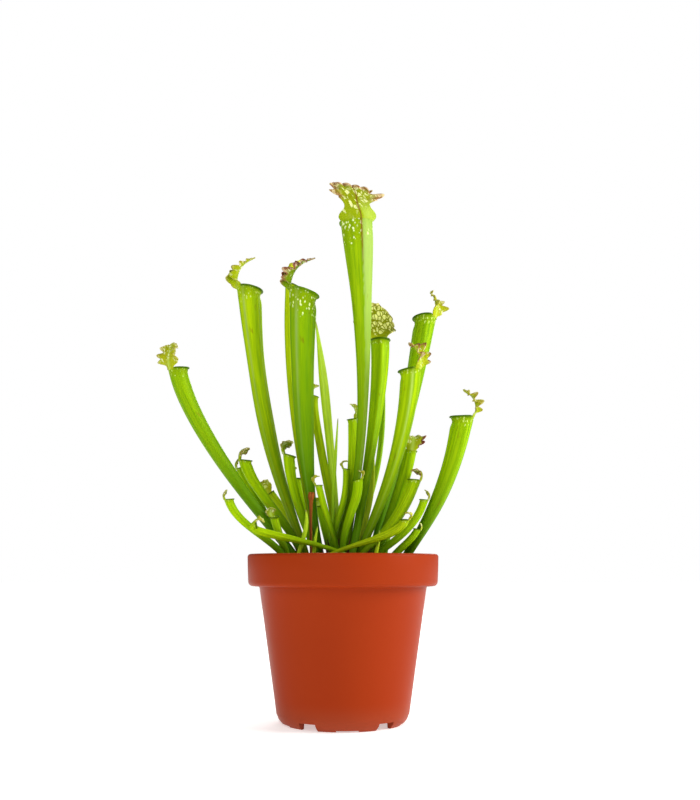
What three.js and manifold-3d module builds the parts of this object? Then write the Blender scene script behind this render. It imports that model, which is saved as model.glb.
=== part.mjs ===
// A clump of trumpet pitchers in a round plastic nursery pot. Millimetres, +Z up.
import * as THREE from "three";
import { mergeVertices } from "three/addons/utils/BufferGeometryUtils.js";
import Module from "manifold-3d";

const wasm = await Module();
wasm.setup();

// Pot, from the ground up
const POT_HEIGHT = 118.5;
const POT_WALL = 2;
const RIM_RADIUS = 70;
const BAND_LOW_RADIUS = 69.2;
const BAND_BOTTOM = 95.5;
const BODY_TOP_RADIUS = 61.2;
const BODY_LOW_RADIUS = 47.5;
const RIM_ROUND = 3;
const BAND_ROUND = 3.5;
const SHOULDER_ROUND = 2;
const BAND_SLACK = 0.6;
const CREASE_HEIGHT = 6.6;
const FOOT_RADIUS = 43.5;
const FOOT_WALL = 3.2;
const FOOT_SLOPE = 0.4;
const FOOT_SPREAD = 2.3;
const FLOOR_HEIGHT = 4.8;
const FLOOR_THICK = 2.4;
const FOOT_COUNT = 5;
const FOOT_MIDDLE = -85.4;
const NOTCH_ANGLE = 17;
const NOTCH_DEPTH = 6;
const RECESS_ANGLE = 20;
const RECESS_HEIGHT = 0.9;
const DRAIN_RADIUS = 4;
const DRAIN_CIRCLE = 31;
const POT_SIDES = 36;
const DRAIN_SIDES = 12;

// Soil and what stands in it
const GAP = 0.3;
const SOIL_TOP = 106;
const SOIL_SIDES = 24;
const SOIL_RINGS = [54, 42, 28, 14, 0];
const HEAP = 0.8;
const PEG_SIDES = 6;
const PEG_BOTTOM = 99;
const BEND_START = 107.5;
const CROWN_LENGTH = 58;
const CROWN_WIDTH = 17;
const CROWN_DEPTH = 11;
const CROWN_MIDDLE = -4;
const CROWN_KNOBS = 0.07;

// Leaf walls, and the smallest step that a joined surface keeps
const WALL = 0.95;
const BLADE = 0.7;
const FINEST = 0.06;
const GRID = 0.05;
const STEM_TIP = 0.45;

// The rolled lip and the edge inside it, as shares of the mouth's radius
const LIP_LOW = 0.22;
const LIP_WIDE = 1.13;
const LIP_TOP_WIDE = 1.05;
const LIP_TOP = 0.08;
const LIP_INSIDE = 0.16;

// Hood: how much of its length the blade takes to open, and how its edge is lobed
const OPENING = 0.4;
const NARROWING_START = 0.55;
const LOBE_DEPTH = 0.14;
const SPINE_STEPS = 12;

// How finely each size of leaf is faceted
const DETAIL = {
  large: { sides: 9, rings: 8, cupRings: 3, hoodRows: 7, hoodColumns: 6 },
  middle: { sides: 7, rings: 5, cupRings: 1, hoodRows: 4, hoodColumns: 4 },
  small: { sides: 6, rings: 4, cupRings: 1, hoodRows: 3, hoodColumns: 2 },
};

// Leaves. foot is where a leaf stands in the soil, rise and reach steer its bend, mouth is its
// top, widths run evenly from foot to mouth, and faces is the compass angle of its open front.
const LEAVES = [
  {
    name: "pitcher_tallest", size: "large", faces: 106, cup: 90, droop: 0.1, ridge: 0.2,
    foot: [3, 3], rise: 56, reach: [24, -21, 179], mouth: [10, -30, 365], widths: [4.1, 5.6, 8.3, 14.3, 24],
    hood: {
      length: 30, width: 35, lean: -2, curl: 30, back: -0.1, neck: 0.9, opens: 0.34,
      blunt: 0.4, sway: 6, offset: -3, tilt: 3.5, frill: 2, waves: 8, phase: 0.4,
    },
  },
  {
    name: "pitcher_left", size: "large", faces: 18, cup: 70, droop: 0.22, ridge: 0.2,
    foot: [-26, 12], rise: 23, reach: [-64, 28, 170], mouth: [-78, 36, 332], widths: [4.9, 7.8, 11.9, 13.1, 18],
    hood: {
      length: 34, width: 22, lean: 4, curl: 60, back: 1.3, neck: 0.5, frill: 1.8,
      waves: 9, phase: 1.1,
    },
  },
  {
    name: "pitcher_centre_left", size: "large", faces: 20, cup: 75, droop: 0.26, ridge: 0.2,
    foot: [-15, 6], rise: 14, reach: [-34, -10, 164], mouth: [-31, -20, 313], widths: [4.8, 6.5, 12.8, 16.2, 19.6],
    hood: { length: 34, width: 24, lean: 8, curl: 66, back: 1.4, neck: 0.5, frill: 2, waves: 9, phase: 2.3 },
  },
  {
    name: "pitcher_behind_centre_left", size: "large", faces: 20, cup: 50, droop: 0.3, ridge: 0.2,
    foot: [-17, 16], rise: 6, reach: [-47, 22, 231], mouth: [-41, 26, 331], widths: [4.5, 5.7, 8.7, 10.5, 12],
    hood: {
      length: 25, width: 9, lean: 20, curl: 32, back: 1.1, neck: 0.5, frill: 1.3,
      waves: 8, phase: 3.2,
    },
  },
  {
    name: "pitcher_net_hood", size: "large", faces: -84, cup: 50, droop: 0.3, ridge: 0.2,
    foot: [5, -16], rise: 6, reach: [31, 12, 231], mouth: [29, 28, 287], widths: [5.1, 6.3, 8.3, 11.9, 15],
    hood: {
      length: 39, width: 32, lean: -10, curl: 22, back: 0.3, sway: -3, frill: 0.8,
      waves: 3, phase: 2.6,
    },
  },
  {
    name: "pitcher_right", size: "large", faces: 154, cup: 65, droop: 0.2, ridge: 0.2,
    foot: [18, 11], rise: 6, reach: [46, 27, 188], mouth: [67, 40, 309], widths: [4.9, 6.4, 9.1, 13.1, 16.5],
    hood: { length: 25, width: 23, lean: 0, curl: 40, back: 0.8, neck: 0.5, frill: 2, waves: 9, phase: 0.9 },
  },
  {
    name: "pitcher_right_front", size: "large", faces: 146, cup: 60, droop: 0.22, ridge: 0.2,
    foot: [7, -5], rise: 7, reach: [47, -17, 179], mouth: [50, -26, 252], widths: [5.1, 6.7, 8.8, 11.9, 14.6],
    hood: {
      length: 24, width: 22, lean: -4, curl: 64, back: 1, neck: 0.6, frill: 1.8,
      waves: 9, phase: 5.2,
    },
  },
  {
    name: "pitcher_far_right", size: "large", faces: 166, cup: 60, droop: 0.2, ridge: 0.2,
    foot: [43, -4], rise: 13, reach: [76, -18, 146], mouth: [88, -26, 217], widths: [5.9, 7.2, 10.2, 12.4, 14.6],
    hood: {
      length: 24, width: 14, lean: -4, curl: 66, back: 1.2, neck: 0.5, frill: 1.5,
      waves: 8, phase: 2.7,
    },
  },
  {
    name: "pitcher_far_left", size: "large", faces: 44, cup: 65, droop: 0.15, ridge: 0.2,
    foot: [-30, -4], rise: 6, reach: [-111, -20, 199], mouth: [-121, -30, 252], widths: [4.8, 6.7, 9.3, 11.4, 13.4],
    hood: {
      length: 21, width: 26, lean: 2, curl: 40, back: 0.45, neck: 0.5, frill: 2,
      waves: 9, phase: 1.8,
    },
  },
  {
    name: "young_left", size: "middle", faces: 0, cup: 26, droop: 0.25, ridge: 0.15,
    foot: [-29, 3], rise: 26, reach: [-71, 1, 165], mouth: [-74, 0, 188], widths: [5.2, 5.5, 6.5, 7.2, 8.6],
    hood: { length: 15, width: 11, lean: 6, curl: 96, back: 0.9, frill: 0.8, waves: 7, phase: 0.5 },
  },
  {
    name: "young_left_behind", size: "middle", faces: 10, cup: 16, droop: 0.2, ridge: 0.15,
    foot: [-32, 12], rise: 13, reach: [-53, 10, 128], mouth: [-78, 10, 183], widths: [4.5, 4.7, 5.5, 6.1, 7],
    hood: { length: 10, width: 7, lean: 4, curl: 70, back: 0.8, frill: 0.5, waves: 6, phase: 2.2 },
  },
  {
    name: "young_centre_left", size: "middle", faces: -12, cup: 26, droop: 0.3, ridge: 0.15,
    foot: [-16, -5], rise: 8, reach: [-41, 0, 159], mouth: [-41, 2, 192], widths: [4.8, 5.1, 6.2, 7, 8.4],
    hood: { length: 17, width: 10, lean: -18, curl: 100, back: 0.9, frill: 0.8, waves: 7, phase: 1.4 },
  },
  {
    name: "young_frilled_back", size: "middle", faces: 100, cup: 26, droop: 0.15, ridge: 0.15,
    foot: [20, 1], rise: 6, reach: [42, -1, 153], mouth: [50, -2, 195], widths: [5.9, 6.5, 8.6, 9.7, 10],
    hood: { length: 17, width: 13, lean: -12, curl: 85, back: 0.6, frill: 1.2, waves: 8, phase: 3.6 },
  },
  {
    name: "young_curled_right", size: "middle", faces: 180, cup: 24, droop: 0.25, ridge: 0.15,
    foot: [11, -12], rise: 19, reach: [36, -13, 124], mouth: [53, -12, 172], widths: [4.7, 5.1, 7, 8.3, 8.4],
    hood: { length: 16, width: 10, lean: 0, curl: 135, back: 0.8, frill: 0.8, waves: 7, phase: 4.4 },
  },
  {
    name: "young_veined", size: "middle", faces: -70, cup: 18, droop: 0.25, ridge: 0.12,
    foot: [-29, 24], rise: 24, reach: [-48, 30, 155], mouth: [-57, 32, 166], widths: [4.2, 4.2, 4.8, 5.3, 6.4],
    hood: { length: 13, width: 9, lean: -10, curl: 40, back: 0.5, frill: 0.5, waves: 6, phase: 5.1 },
  },
  {
    name: "young_centre", size: "middle", faces: -150, cup: 24, droop: 0.2, ridge: 0.12,
    foot: [-4, 4], rise: 38, reach: [8, 5, 138], mouth: [7, 4, 220], widths: [3.7, 5.1, 6, 6.2, 6.8],
    hood: { length: 14, width: 8, lean: -8, curl: 60, back: 0.8, frill: 0.6, waves: 7, phase: 0.2 },
  },
  {
    name: "young_yellow", size: "middle", faces: -20, cup: 14, droop: 0.2, ridge: 0.12,
    foot: [-3, 10], rise: 33, reach: [-25, 10, 220], mouth: [-22, 12, 239], widths: [3.7, 4.5, 6.2, 6.2, 5],
    hood: { length: 12, width: 7, lean: -14, curl: 80, back: 0.7, frill: 0.5, waves: 6, phase: 1 },
  },
  {
    name: "young_front", size: "middle", faces: 175, cup: 18, droop: 0.2, ridge: 0.12,
    foot: [-1, -15], rise: 38, reach: [13, -17, 153], mouth: [11, -18, 172], widths: [4, 4.2, 5.4, 6.4, 7],
    hood: { length: 8, width: 7, lean: -6, curl: 60, back: 0.6, frill: 0.4, waves: 5, phase: 2.6 },
  },
  {
    name: "short_open", size: "small", faces: -50, cup: 10, droop: 0.3, ridge: 0,
    foot: [-40, -12], rise: 16, reach: [-42, -15, 117], mouth: [-50, -16, 145], widths: [5.2, 5.2, 5.4, 5.6, 6.2],
    hood: { length: 8, width: 6, lean: -10, curl: 50, back: 0.5, frill: 0, waves: 5, phase: 0 },
  },
  {
    name: "low_left", size: "small", faces: 0, cup: 10, droop: 0.2, ridge: 0.1,
    foot: [-39, -19], rise: 18, reach: [-77, -25, 136], mouth: [-82, -26, 157], widths: [4.8, 4.8, 5, 5.4, 6.2],
    hood: { length: 9, width: 6, lean: -6, curl: 70, back: 0.6, frill: 0.3, waves: 5, phase: 1 },
  },
  {
    name: "low_front_left", size: "small", faces: 0, cup: 9, droop: 0.2, ridge: 0.1,
    foot: [12, -20], rise: 19, reach: [-80, -33, 132], mouth: [-61, -36, 139], widths: [2.9, 2.9, 4, 5.6, 5.4],
    hood: { length: 8, width: 6, lean: 0, curl: 70, back: 0.5, frill: 0.3, waves: 5, phase: 2.8 },
  },
  {
    name: "low_front_right", size: "small", faces: 180, cup: 9, droop: 0.2, ridge: 0.1,
    foot: [-18, -25], rise: 17, reach: [41, -34, 126], mouth: [44, -36, 142], widths: [2.8, 2.8, 4, 5.7, 6],
    hood: { length: 9, width: 7, lean: -10, curl: 120, back: 0.5, frill: 0.3, waves: 5, phase: 3 },
  },
  {
    name: "low_right", size: "small", faces: 180, cup: 9, droop: 0.2, ridge: 0.1,
    foot: [32, -18], rise: 10, reach: [50, -17, 126], mouth: [54, -17, 136], widths: [4.6, 4.8, 5, 5, 5],
    hood: { length: 7, width: 5, lean: 0, curl: 70, back: 0.4, frill: 0.2, waves: 5, phase: 4 },
  },
  {
    name: "short_right", size: "small", faces: 180, cup: 10, droop: 0.2, ridge: 0.1,
    foot: [17, -20], rise: 12, reach: [51, -20, 128], mouth: [59, -19, 157], widths: [4.6, 4.6, 5.1, 5.4, 5.6],
    hood: { length: 10, width: 6, lean: -8, curl: 80, back: 0.6, frill: 0.3, waves: 5, phase: 5 },
  },
  {
    name: "short_hooked", size: "small", faces: 8, cup: 9, droop: 0.2, ridge: 0.1,
    foot: [-9, -5], rise: 38, reach: [3, -4, 147], mouth: [2, -3, 181], widths: [3.7, 3.9, 4.8, 4.6, 4.6],
    hood: { length: 9, width: 5, lean: -14, curl: 90, back: 0.6, frill: 0.3, waves: 5, phase: 0.5 },
  },
  {
    name: "short_front", size: "small", faces: 10, cup: 9, droop: 0.2, ridge: 0.1,
    foot: [-3, -10], rise: 19, reach: [-12, -13, 141], mouth: [-18, -14, 168], widths: [3.6, 3.7, 4.4, 4.7, 4.8],
    hood: { length: 10, width: 6, lean: -10, curl: 90, back: 0.6, frill: 0.3, waves: 5, phase: 1.5 },
  },
  {
    name: "back_centre", size: "middle", faces: -96, cup: 20, droop: 0.25, ridge: 0.12,
    foot: [11, 25], rise: 18, reach: [13, 32, 149], mouth: [14, 36, 168], widths: [5, 5.7, 6.4, 7.2, 8],
    hood: { length: 13, width: 9, lean: -8, curl: 80, back: 0.8, frill: 0.7, waves: 7, phase: 2.9 },
  },
  {
    name: "back_left", size: "small", faces: -60, cup: 12, droop: 0.25, ridge: 0.1,
    foot: [-9, 29], rise: 15, reach: [-16, 39, 142], mouth: [-18, 44, 156], widths: [5, 5.3, 5.7, 6.4, 7],
    hood: { length: 10, width: 7, lean: 0, curl: 80, back: 0.6, frill: 0.4, waves: 5, phase: 0.8 },
  },
  {
    name: "back_right", size: "middle", faces: -140, cup: 20, droop: 0.25, ridge: 0.12,
    foot: [30, 19], rise: 19, reach: [39, 31, 153], mouth: [42, 36, 172], widths: [5, 5.6, 6.3, 7.1, 8],
    hood: { length: 13, width: 9, lean: -4, curl: 90, back: 0.8, frill: 0.7, waves: 7, phase: 4.9 },
  },
  {
    name: "back_far_left", size: "middle", faces: -40, cup: 20, droop: 0.25, ridge: 0.12,
    foot: [-21, 27], rise: 21, reach: [-34, 38, 156], mouth: [-38, 42, 178], widths: [5, 5.6, 6.4, 7.2, 8],
    hood: { length: 13, width: 9, lean: -4, curl: 90, back: 0.8, frill: 0.7, waves: 7, phase: 3.9 },
  },
  {
    name: "flat_leaf_tall", size: "middle", faces: 120, flat: 0.3,
    foot: [-2, 15], rise: 6, reach: [-16, 22, 275], mouth: [-23, 26, 305], widths: [3.4, 3.9, 5, 5.5, 0.9],
  },
  {
    name: "flat_leaf_right", size: "middle", faces: 60, flat: 0.5,
    foot: [14, 7], rise: 67, reach: [30, 20, 152], mouth: [32, 30, 255], widths: [3.7, 4.1, 4.6, 4.7, 2.4],
  },
  {
    name: "flat_leaf_yellow", size: "small", faces: 90, flat: 0.5,
    foot: [9, 1], rise: 27, reach: [20, 2, 131], mouth: [23, 10, 195], widths: [3.3, 3.5, 4.5, 5.2, 1.6],
  },
  {
    name: "spear_centre", size: "small", faces: 90, flat: 1,
    foot: [-7, 1], rise: 66, reach: [-9, 0, 138], mouth: [-4, 0, 220], widths: [2.4, 2.5, 2.7, 2.4, 0.9],
  },
  {
    name: "dried_stub", size: "small", faces: 90, flat: 1,
    foot: [-23, -13], rise: 16, reach: [-24, -14, 149], mouth: [-23, -15, 163], widths: [2.5, 2.6, 2.8, 3, 5],
  },
  {
    name: "shoot_left", size: "small", faces: 0, flat: 1,
    foot: [-21, -20], rise: 12, reach: [-20, -22, 130], mouth: [-18, -22, 138], widths: [2.6, 2.8, 2.6, 2.2, 0.9],
  },
  {
    name: "shoot_curled", size: "small", faces: 0, flat: 1,
    foot: [-34, -22], rise: 10, reach: [-23, -21, 135], mouth: [-27, -21, 150], widths: [3, 3, 3, 3.2, 1.4],
  },
  {
    name: "shoot_right", size: "small", faces: 0, flat: 1,
    foot: [22, -27], rise: 8, reach: [26, -27, 125], mouth: [26, -26, 135], widths: [2.8, 3, 2.8, 2.4, 0.9],
  },
];

// Puts shared corners together, drops flat triangles and turns the faces outwards.
function solid(geometry) {
  const bare = geometry.clone();
  bare.deleteAttribute("normal");
  bare.deleteAttribute("uv");
  const merged = mergeVertices(bare, 1e-4);
  const place = merged.getAttribute("position");
  const order = merged.getIndex();
  const corners = [];
  let volume = 0;
  const a = new THREE.Vector3();
  const b = new THREE.Vector3();
  const c = new THREE.Vector3();
  for (let i = 0; i < order.count; i += 3) {
    const trio = [order.getX(i), order.getX(i + 1), order.getX(i + 2)];
    if (trio[0] === trio[1] || trio[1] === trio[2] || trio[2] === trio[0]) continue;
    a.fromBufferAttribute(place, trio[0]);
    b.fromBufferAttribute(place, trio[1]);
    c.fromBufferAttribute(place, trio[2]);
    volume += a.dot(b.cross(c));
    corners.push(...trio);
  }
  if (volume < 0) corners.reverse();
  return new wasm.Manifold(new wasm.Mesh({
    numProp: 3,
    vertProperties: new Float32Array(place.array),
    triVerts: new Uint32Array(corners),
  }));
}

function geometryOf(body) {
  const mesh = body.getMesh();
  const geometry = new THREE.BufferGeometry();
  geometry.setAttribute("position", new THREE.BufferAttribute(mesh.vertProperties.slice(), 3));
  geometry.setIndex(new THREE.BufferAttribute(mesh.triVerts.slice(), 1));
  return geometry;
}

// The largest body of a solid, so that no loose scrap is left after a cut.
function wholeBody(body) {
  const parts = body.decompose();
  return parts.reduce((best, next) => (next.volume() > best.volume() ? next : best));
}

// A joined body without its slivers: its corners are put on a fine grid, and those that meet become one.
function cleaned(body) {
  const geometry = geometryOf(body.asOriginal().simplify(FINEST));
  const place = geometry.getAttribute("position");
  for (let i = 0; i < place.count; i += 1) {
    const spot = new THREE.Vector3().fromBufferAttribute(place, i).divideScalar(GRID).round().multiplyScalar(GRID);
    place.setXYZ(i, spot.x, spot.y, spot.z);
  }
  return wholeBody(solid(geometry));
}

function turned(profile, sides) {
  const points = profile.map(([radius, height]) => new THREE.Vector2(radius, height));
  return new THREE.LatheGeometry(points, sides).rotateX(Math.PI / 2);
}

function upright(radius, low, high, x, y, sides) {
  const pin = new THREE.CylinderGeometry(radius, radius, high - low, sides);
  pin.rotateX(Math.PI / 2);
  pin.translate(x, y, (low + high) / 2);
  return pin;
}

const smooth = THREE.MathUtils.smoothstep;
const mix = THREE.MathUtils.lerp;

// Reads a list of values spread evenly over 0 to 1, with a smooth line through them.
function spread(values, at) {
  const last = values.length - 1;
  const place = Math.min(Math.max(at, 0), 1) * last;
  const from = Math.min(Math.floor(place), last - 1);
  const share = place - from;
  const one = values[from];
  const two = values[from + 1];
  const rise = (two - values[Math.max(from - 1, 0)]) / 2;
  const fall = (values[Math.min(from + 2, last)] - one) / 2;
  const bump = share * share * (3 - 2 * share);
  const early = share * (1 - share) ** 2;
  const late = share * share * (share - 1);
  return mix(one, two, bump) + rise * early + fall * late;
}

// The line that a leaf follows: a short upright peg in the soil, then one bend out and up.
function leafLine(leaf) {
  const [footX, footY] = leaf.foot;
  const line = new THREE.CurvePath();
  const start = new THREE.Vector3(footX, footY, PEG_BOTTOM);
  const bend = new THREE.Vector3(footX, footY, BEND_START);
  line.add(new THREE.LineCurve3(start, bend));
  line.add(new THREE.CubicBezierCurve3(
    bend,
    new THREE.Vector3(footX, footY, BEND_START + leaf.rise),
    new THREE.Vector3(...leaf.reach),
    new THREE.Vector3(...leaf.mouth),
  ));
  return line;
}

// Point, direction, front and side of a leaf at a share of its length.
function leafFrame(leaf, line, share) {
  const u = Math.min(Math.max(share, 0), 1);
  const point = line.getPointAt(u);
  const along = line.getTangentAt(u).normalize();
  const facing = THREE.MathUtils.degToRad(leaf.faces);
  const front = new THREE.Vector3(Math.cos(facing), Math.sin(facing), 0);
  front.addScaledVector(along, -front.dot(along)).normalize();
  const side = new THREE.Vector3().crossVectors(along, front);
  return { point, along, front, side };
}

// A trumpet: round tube with a front ridge, a rolled lip whose front hangs lower, and a cup inside.
function trumpet(leaf, line, detail) {
  const length = line.getLength();
  const mouth = leaf.widths[leaf.widths.length - 1] / 2;
  const peg = BEND_START - PEG_BOTTOM;
  const stem = length - peg;
  const radiusAt = (distance) => spread(leaf.widths, (distance - peg) / stem) / 2;
  const profile = [[0, 0], [radiusAt(0), 0], [radiusAt(0), peg]];
  const lipLow = length - LIP_LOW * mouth;
  for (let i = 1; i <= detail.rings; i += 1) {
    const distance = mix(peg, lipLow, i / detail.rings);
    profile.push([radiusAt(distance), distance]);
  }
  profile.push([mouth * LIP_WIDE, length]);
  profile.push([mouth * LIP_TOP_WIDE, length + LIP_TOP * mouth]);
  const outside = profile.length;
  const floor = length - leaf.cup;
  profile.push([mouth - WALL, length - LIP_INSIDE * mouth]);
  for (let i = 1; i <= detail.cupRings; i += 1) {
    const distance = mix(length - LIP_INSIDE * mouth, floor, i / detail.cupRings);
    profile.push([radiusAt(distance) - WALL, distance]);
  }
  profile.push([0, floor - 1]);
  const points = profile.map(([radius, distance]) => new THREE.Vector2(radius, distance));
  const geometry = new THREE.LatheGeometry(points, detail.sides);
  const place = geometry.getAttribute("position");
  const spot = new THREE.Vector3();
  for (let i = 0; i < place.count; i += 1) {
    spot.fromBufferAttribute(place, i);
    const ring = i % points.length;
    const distance = points[ring].y;
    const turn = Math.atan2(spot.x, spot.z);
    const above = Math.max(distance - length, 0);
    const frame = leafFrame(leaf, line, distance / length);
    const grown = smooth(distance, peg, peg + 0.25 * stem);
    const fade = 1 - smooth(distance, length - 1.5 * mouth, length);
    const ridge = ring < outside ? leaf.ridge * grown * fade * Math.exp(-((turn / 0.3) ** 2)) : 0;
    const radius = points[ring].x * (1 + ridge);
    const droop = leaf.droop * mouth * smooth(distance, length - 1.6 * mouth, length);
    frame.point.addScaledVector(frame.along, above - droop * Math.cos(turn) * (radius / mouth));
    frame.point.addScaledVector(frame.front, radius * Math.cos(turn));
    frame.point.addScaledVector(frame.side, radius * Math.sin(turn));
    place.setXYZ(i, frame.point.x, frame.point.y, frame.point.z);
  }
  return solid(geometry);
}

// A solid stem with no mouth, round or flattened from front to back.
function stalk(leaf, line, detail) {
  const length = line.getLength();
  const points = [new THREE.Vector2(0, 0)];
  for (let i = 0; i <= detail.rings; i += 1) {
    const share = i / detail.rings;
    points.push(new THREE.Vector2(Math.max(spread(leaf.widths, share) / 2, STEM_TIP), share * length * 0.995));
  }
  points.push(new THREE.Vector2(0, length));
  const geometry = new THREE.LatheGeometry(points, detail.sides);
  const place = geometry.getAttribute("position");
  const spot = new THREE.Vector3();
  for (let i = 0; i < place.count; i += 1) {
    spot.fromBufferAttribute(place, i);
    const distance = points[i % points.length].y;
    const frame = leafFrame(leaf, line, distance / length);
    const flat = mix(1, leaf.flat, smooth(distance, 10, 45));
    frame.point.addScaledVector(frame.front, spot.z * flat);
    frame.point.addScaledVector(frame.side, spot.x);
    place.setXYZ(i, frame.point.x, frame.point.y, frame.point.z);
  }
  return solid(geometry);
}

// The hood: a blade that leaves the back of the mouth as a gutter, widens, turns its edges back,
// arches over the mouth and ends in frilled lobes. neck is its width there as a share of the
// mouth's, opens is where it starts to widen, blunt is how far its end narrows, and sway, offset
// and tilt make its two halves unlike.
function hoodPoint(leaf, base, u, v) {
  const hood = { neck: 0.8, opens: 0.06, blunt: 0.93, sway: 0, offset: 0, tilt: 0, ...leaf.hood };
  const spine = base.point.clone();
  const angleAt = (share) => THREE.MathUtils.degToRad(mix(hood.lean, hood.curl, smooth(share, 0.1, 1)));
  const step = (hood.length * u) / SPINE_STEPS;
  for (let i = 0; i < SPINE_STEPS; i += 1) {
    const slant = angleAt((u * (i + 0.5)) / SPINE_STEPS);
    spine.addScaledVector(base.along, Math.cos(slant) * step);
    spine.addScaledVector(base.front, Math.sin(slant) * step);
  }
  const angle = angleAt(u);
  const inward = base.front.clone().multiplyScalar(Math.cos(angle));
  inward.addScaledVector(base.along, -Math.sin(angle));
  const ahead = base.along.clone().multiplyScalar(Math.cos(angle));
  ahead.addScaledVector(base.front, Math.sin(angle));
  const opened = smooth(u, hood.opens, hood.opens + OPENING);
  const narrowed = hood.blunt * smooth(u, NARROWING_START, 1) ** 2;
  const half = mix(base.radius * hood.neck, hood.width / 2, opened) * Math.sqrt(1 - narrowed);
  const bend = mix(1 / base.radius, -hood.back / (hood.width / 2), smooth(u, 0.05, 0.5));
  const turn = Math.abs(bend) < 1e-4 ? 1e-4 : bend;
  const edge = Math.abs(v) ** 3;
  const wave = Math.sin(v * 7.5 + u * hood.waves + hood.phase) * hood.frill * edge * opened;
  const lobe = Math.sin(u * hood.waves * 1.4 + hood.phase * 2 + (v > 0 ? 1.3 : 0));
  const reach = v * half * (1 + LOBE_DEPTH * lobe * edge * opened) + hood.offset * opened;
  spine.addScaledVector(base.side, Math.sin(turn * reach) / turn + hood.sway * smooth(u, 0, 0.9));
  spine.addScaledVector(inward, (1 - Math.cos(turn * reach)) / turn + wave);
  spine.addScaledVector(ahead, hood.tilt * v * opened);
  return spine;
}

// A closed blade over a grid of points, split alike on both faces.
function blade(pointAt, rows, columns, thickness) {
  const grid = [];
  for (let i = 0; i <= rows; i += 1) {
    for (let j = 0; j <= columns; j += 1) grid.push(pointAt(i / rows, (2 * j) / columns - 1));
  }
  const wide = columns + 1;
  const at = (i, j) => grid[Math.min(Math.max(i, 0), rows) * wide + Math.min(Math.max(j, 0), columns)];
  const corners = [];
  const sheets = [thickness / 2, -thickness / 2];
  for (const offset of sheets) {
    for (let i = 0; i <= rows; i += 1) {
      for (let j = 0; j <= columns; j += 1) {
        const down = at(i + 1, j).clone().sub(at(i - 1, j));
        const across = at(i, j + 1).clone().sub(at(i, j - 1));
        const normal = down.cross(across).normalize();
        corners.push(at(i, j).clone().addScaledVector(normal, offset));
      }
    }
  }
  const back = (rows + 1) * wide;
  const faces = [];
  const quad = (a, b, c, d) => faces.push(a, b, c, a, c, d);
  for (let i = 0; i < rows; i += 1) {
    for (let j = 0; j < columns; j += 1) {
      const a = i * wide + j;
      const slanted = (i + j) % 2 === 0;
      const [p, q, r, s] = [a, a + wide, a + wide + 1, a + 1];
      if (slanted) faces.push(p, q, r, p, r, s);
      else faces.push(p, q, s, q, r, s);
      if (slanted) faces.push(back + p, back + r, back + q, back + p, back + s, back + r);
      else faces.push(back + p, back + s, back + q, back + q, back + s, back + r);
    }
    quad(i * wide, back + i * wide, back + (i + 1) * wide, (i + 1) * wide);
    const right = i * wide + columns;
    quad(right, right + wide, back + right + wide, back + right);
  }
  for (let j = 0; j < columns; j += 1) {
    quad(j, j + 1, back + j + 1, back + j);
    const last = rows * wide + j;
    quad(last, back + last, back + last + 1, last + 1);
  }
  const geometry = new THREE.BufferGeometry();
  geometry.setAttribute("position", new THREE.Float32BufferAttribute(corners.flatMap((p) => p.toArray()), 3));
  geometry.setIndex(faces);
  return solid(geometry);
}

function hoodOf(leaf, line, detail) {
  const mouth = leaf.widths[leaf.widths.length - 1] / 2;
  const base = leafFrame(leaf, line, 1);
  base.radius = mouth - WALL / 2;
  base.point.addScaledVector(base.front, -base.radius);
  base.point.addScaledVector(base.along, leaf.droop * mouth - 0.3 * mouth);
  return blade((u, v) => hoodPoint(leaf, base, u, v), detail.hoodRows, detail.hoodColumns, BLADE);
}

function leafBody(leaf) {
  const detail = DETAIL[leaf.size];
  const line = leafLine(leaf);
  if (!leaf.cup) return stalk(leaf, line, detail);
  const tube = trumpet(leaf, line, detail);
  if (!leaf.hood) return tube;
  return cleaned(tube.add(hoodOf(leaf, line, detail)));
}

// A slice of a flat ring round the pot's axis, for the cuts between and under the feet.
function ringSlice(middle, angle, inner, outer, low, high) {
  const from = THREE.MathUtils.degToRad(middle - angle / 2);
  const to = THREE.MathUtils.degToRad(middle + angle / 2);
  const shape = new THREE.Shape();
  shape.absarc(0, 0, outer, from, to, false);
  shape.absarc(0, 0, inner, to, from, true);
  const slice = new THREE.ExtrudeGeometry(shape, { depth: high - low, bevelEnabled: false, curveSegments: 3 });
  slice.translate(0, 0, low);
  return slice;
}

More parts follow.
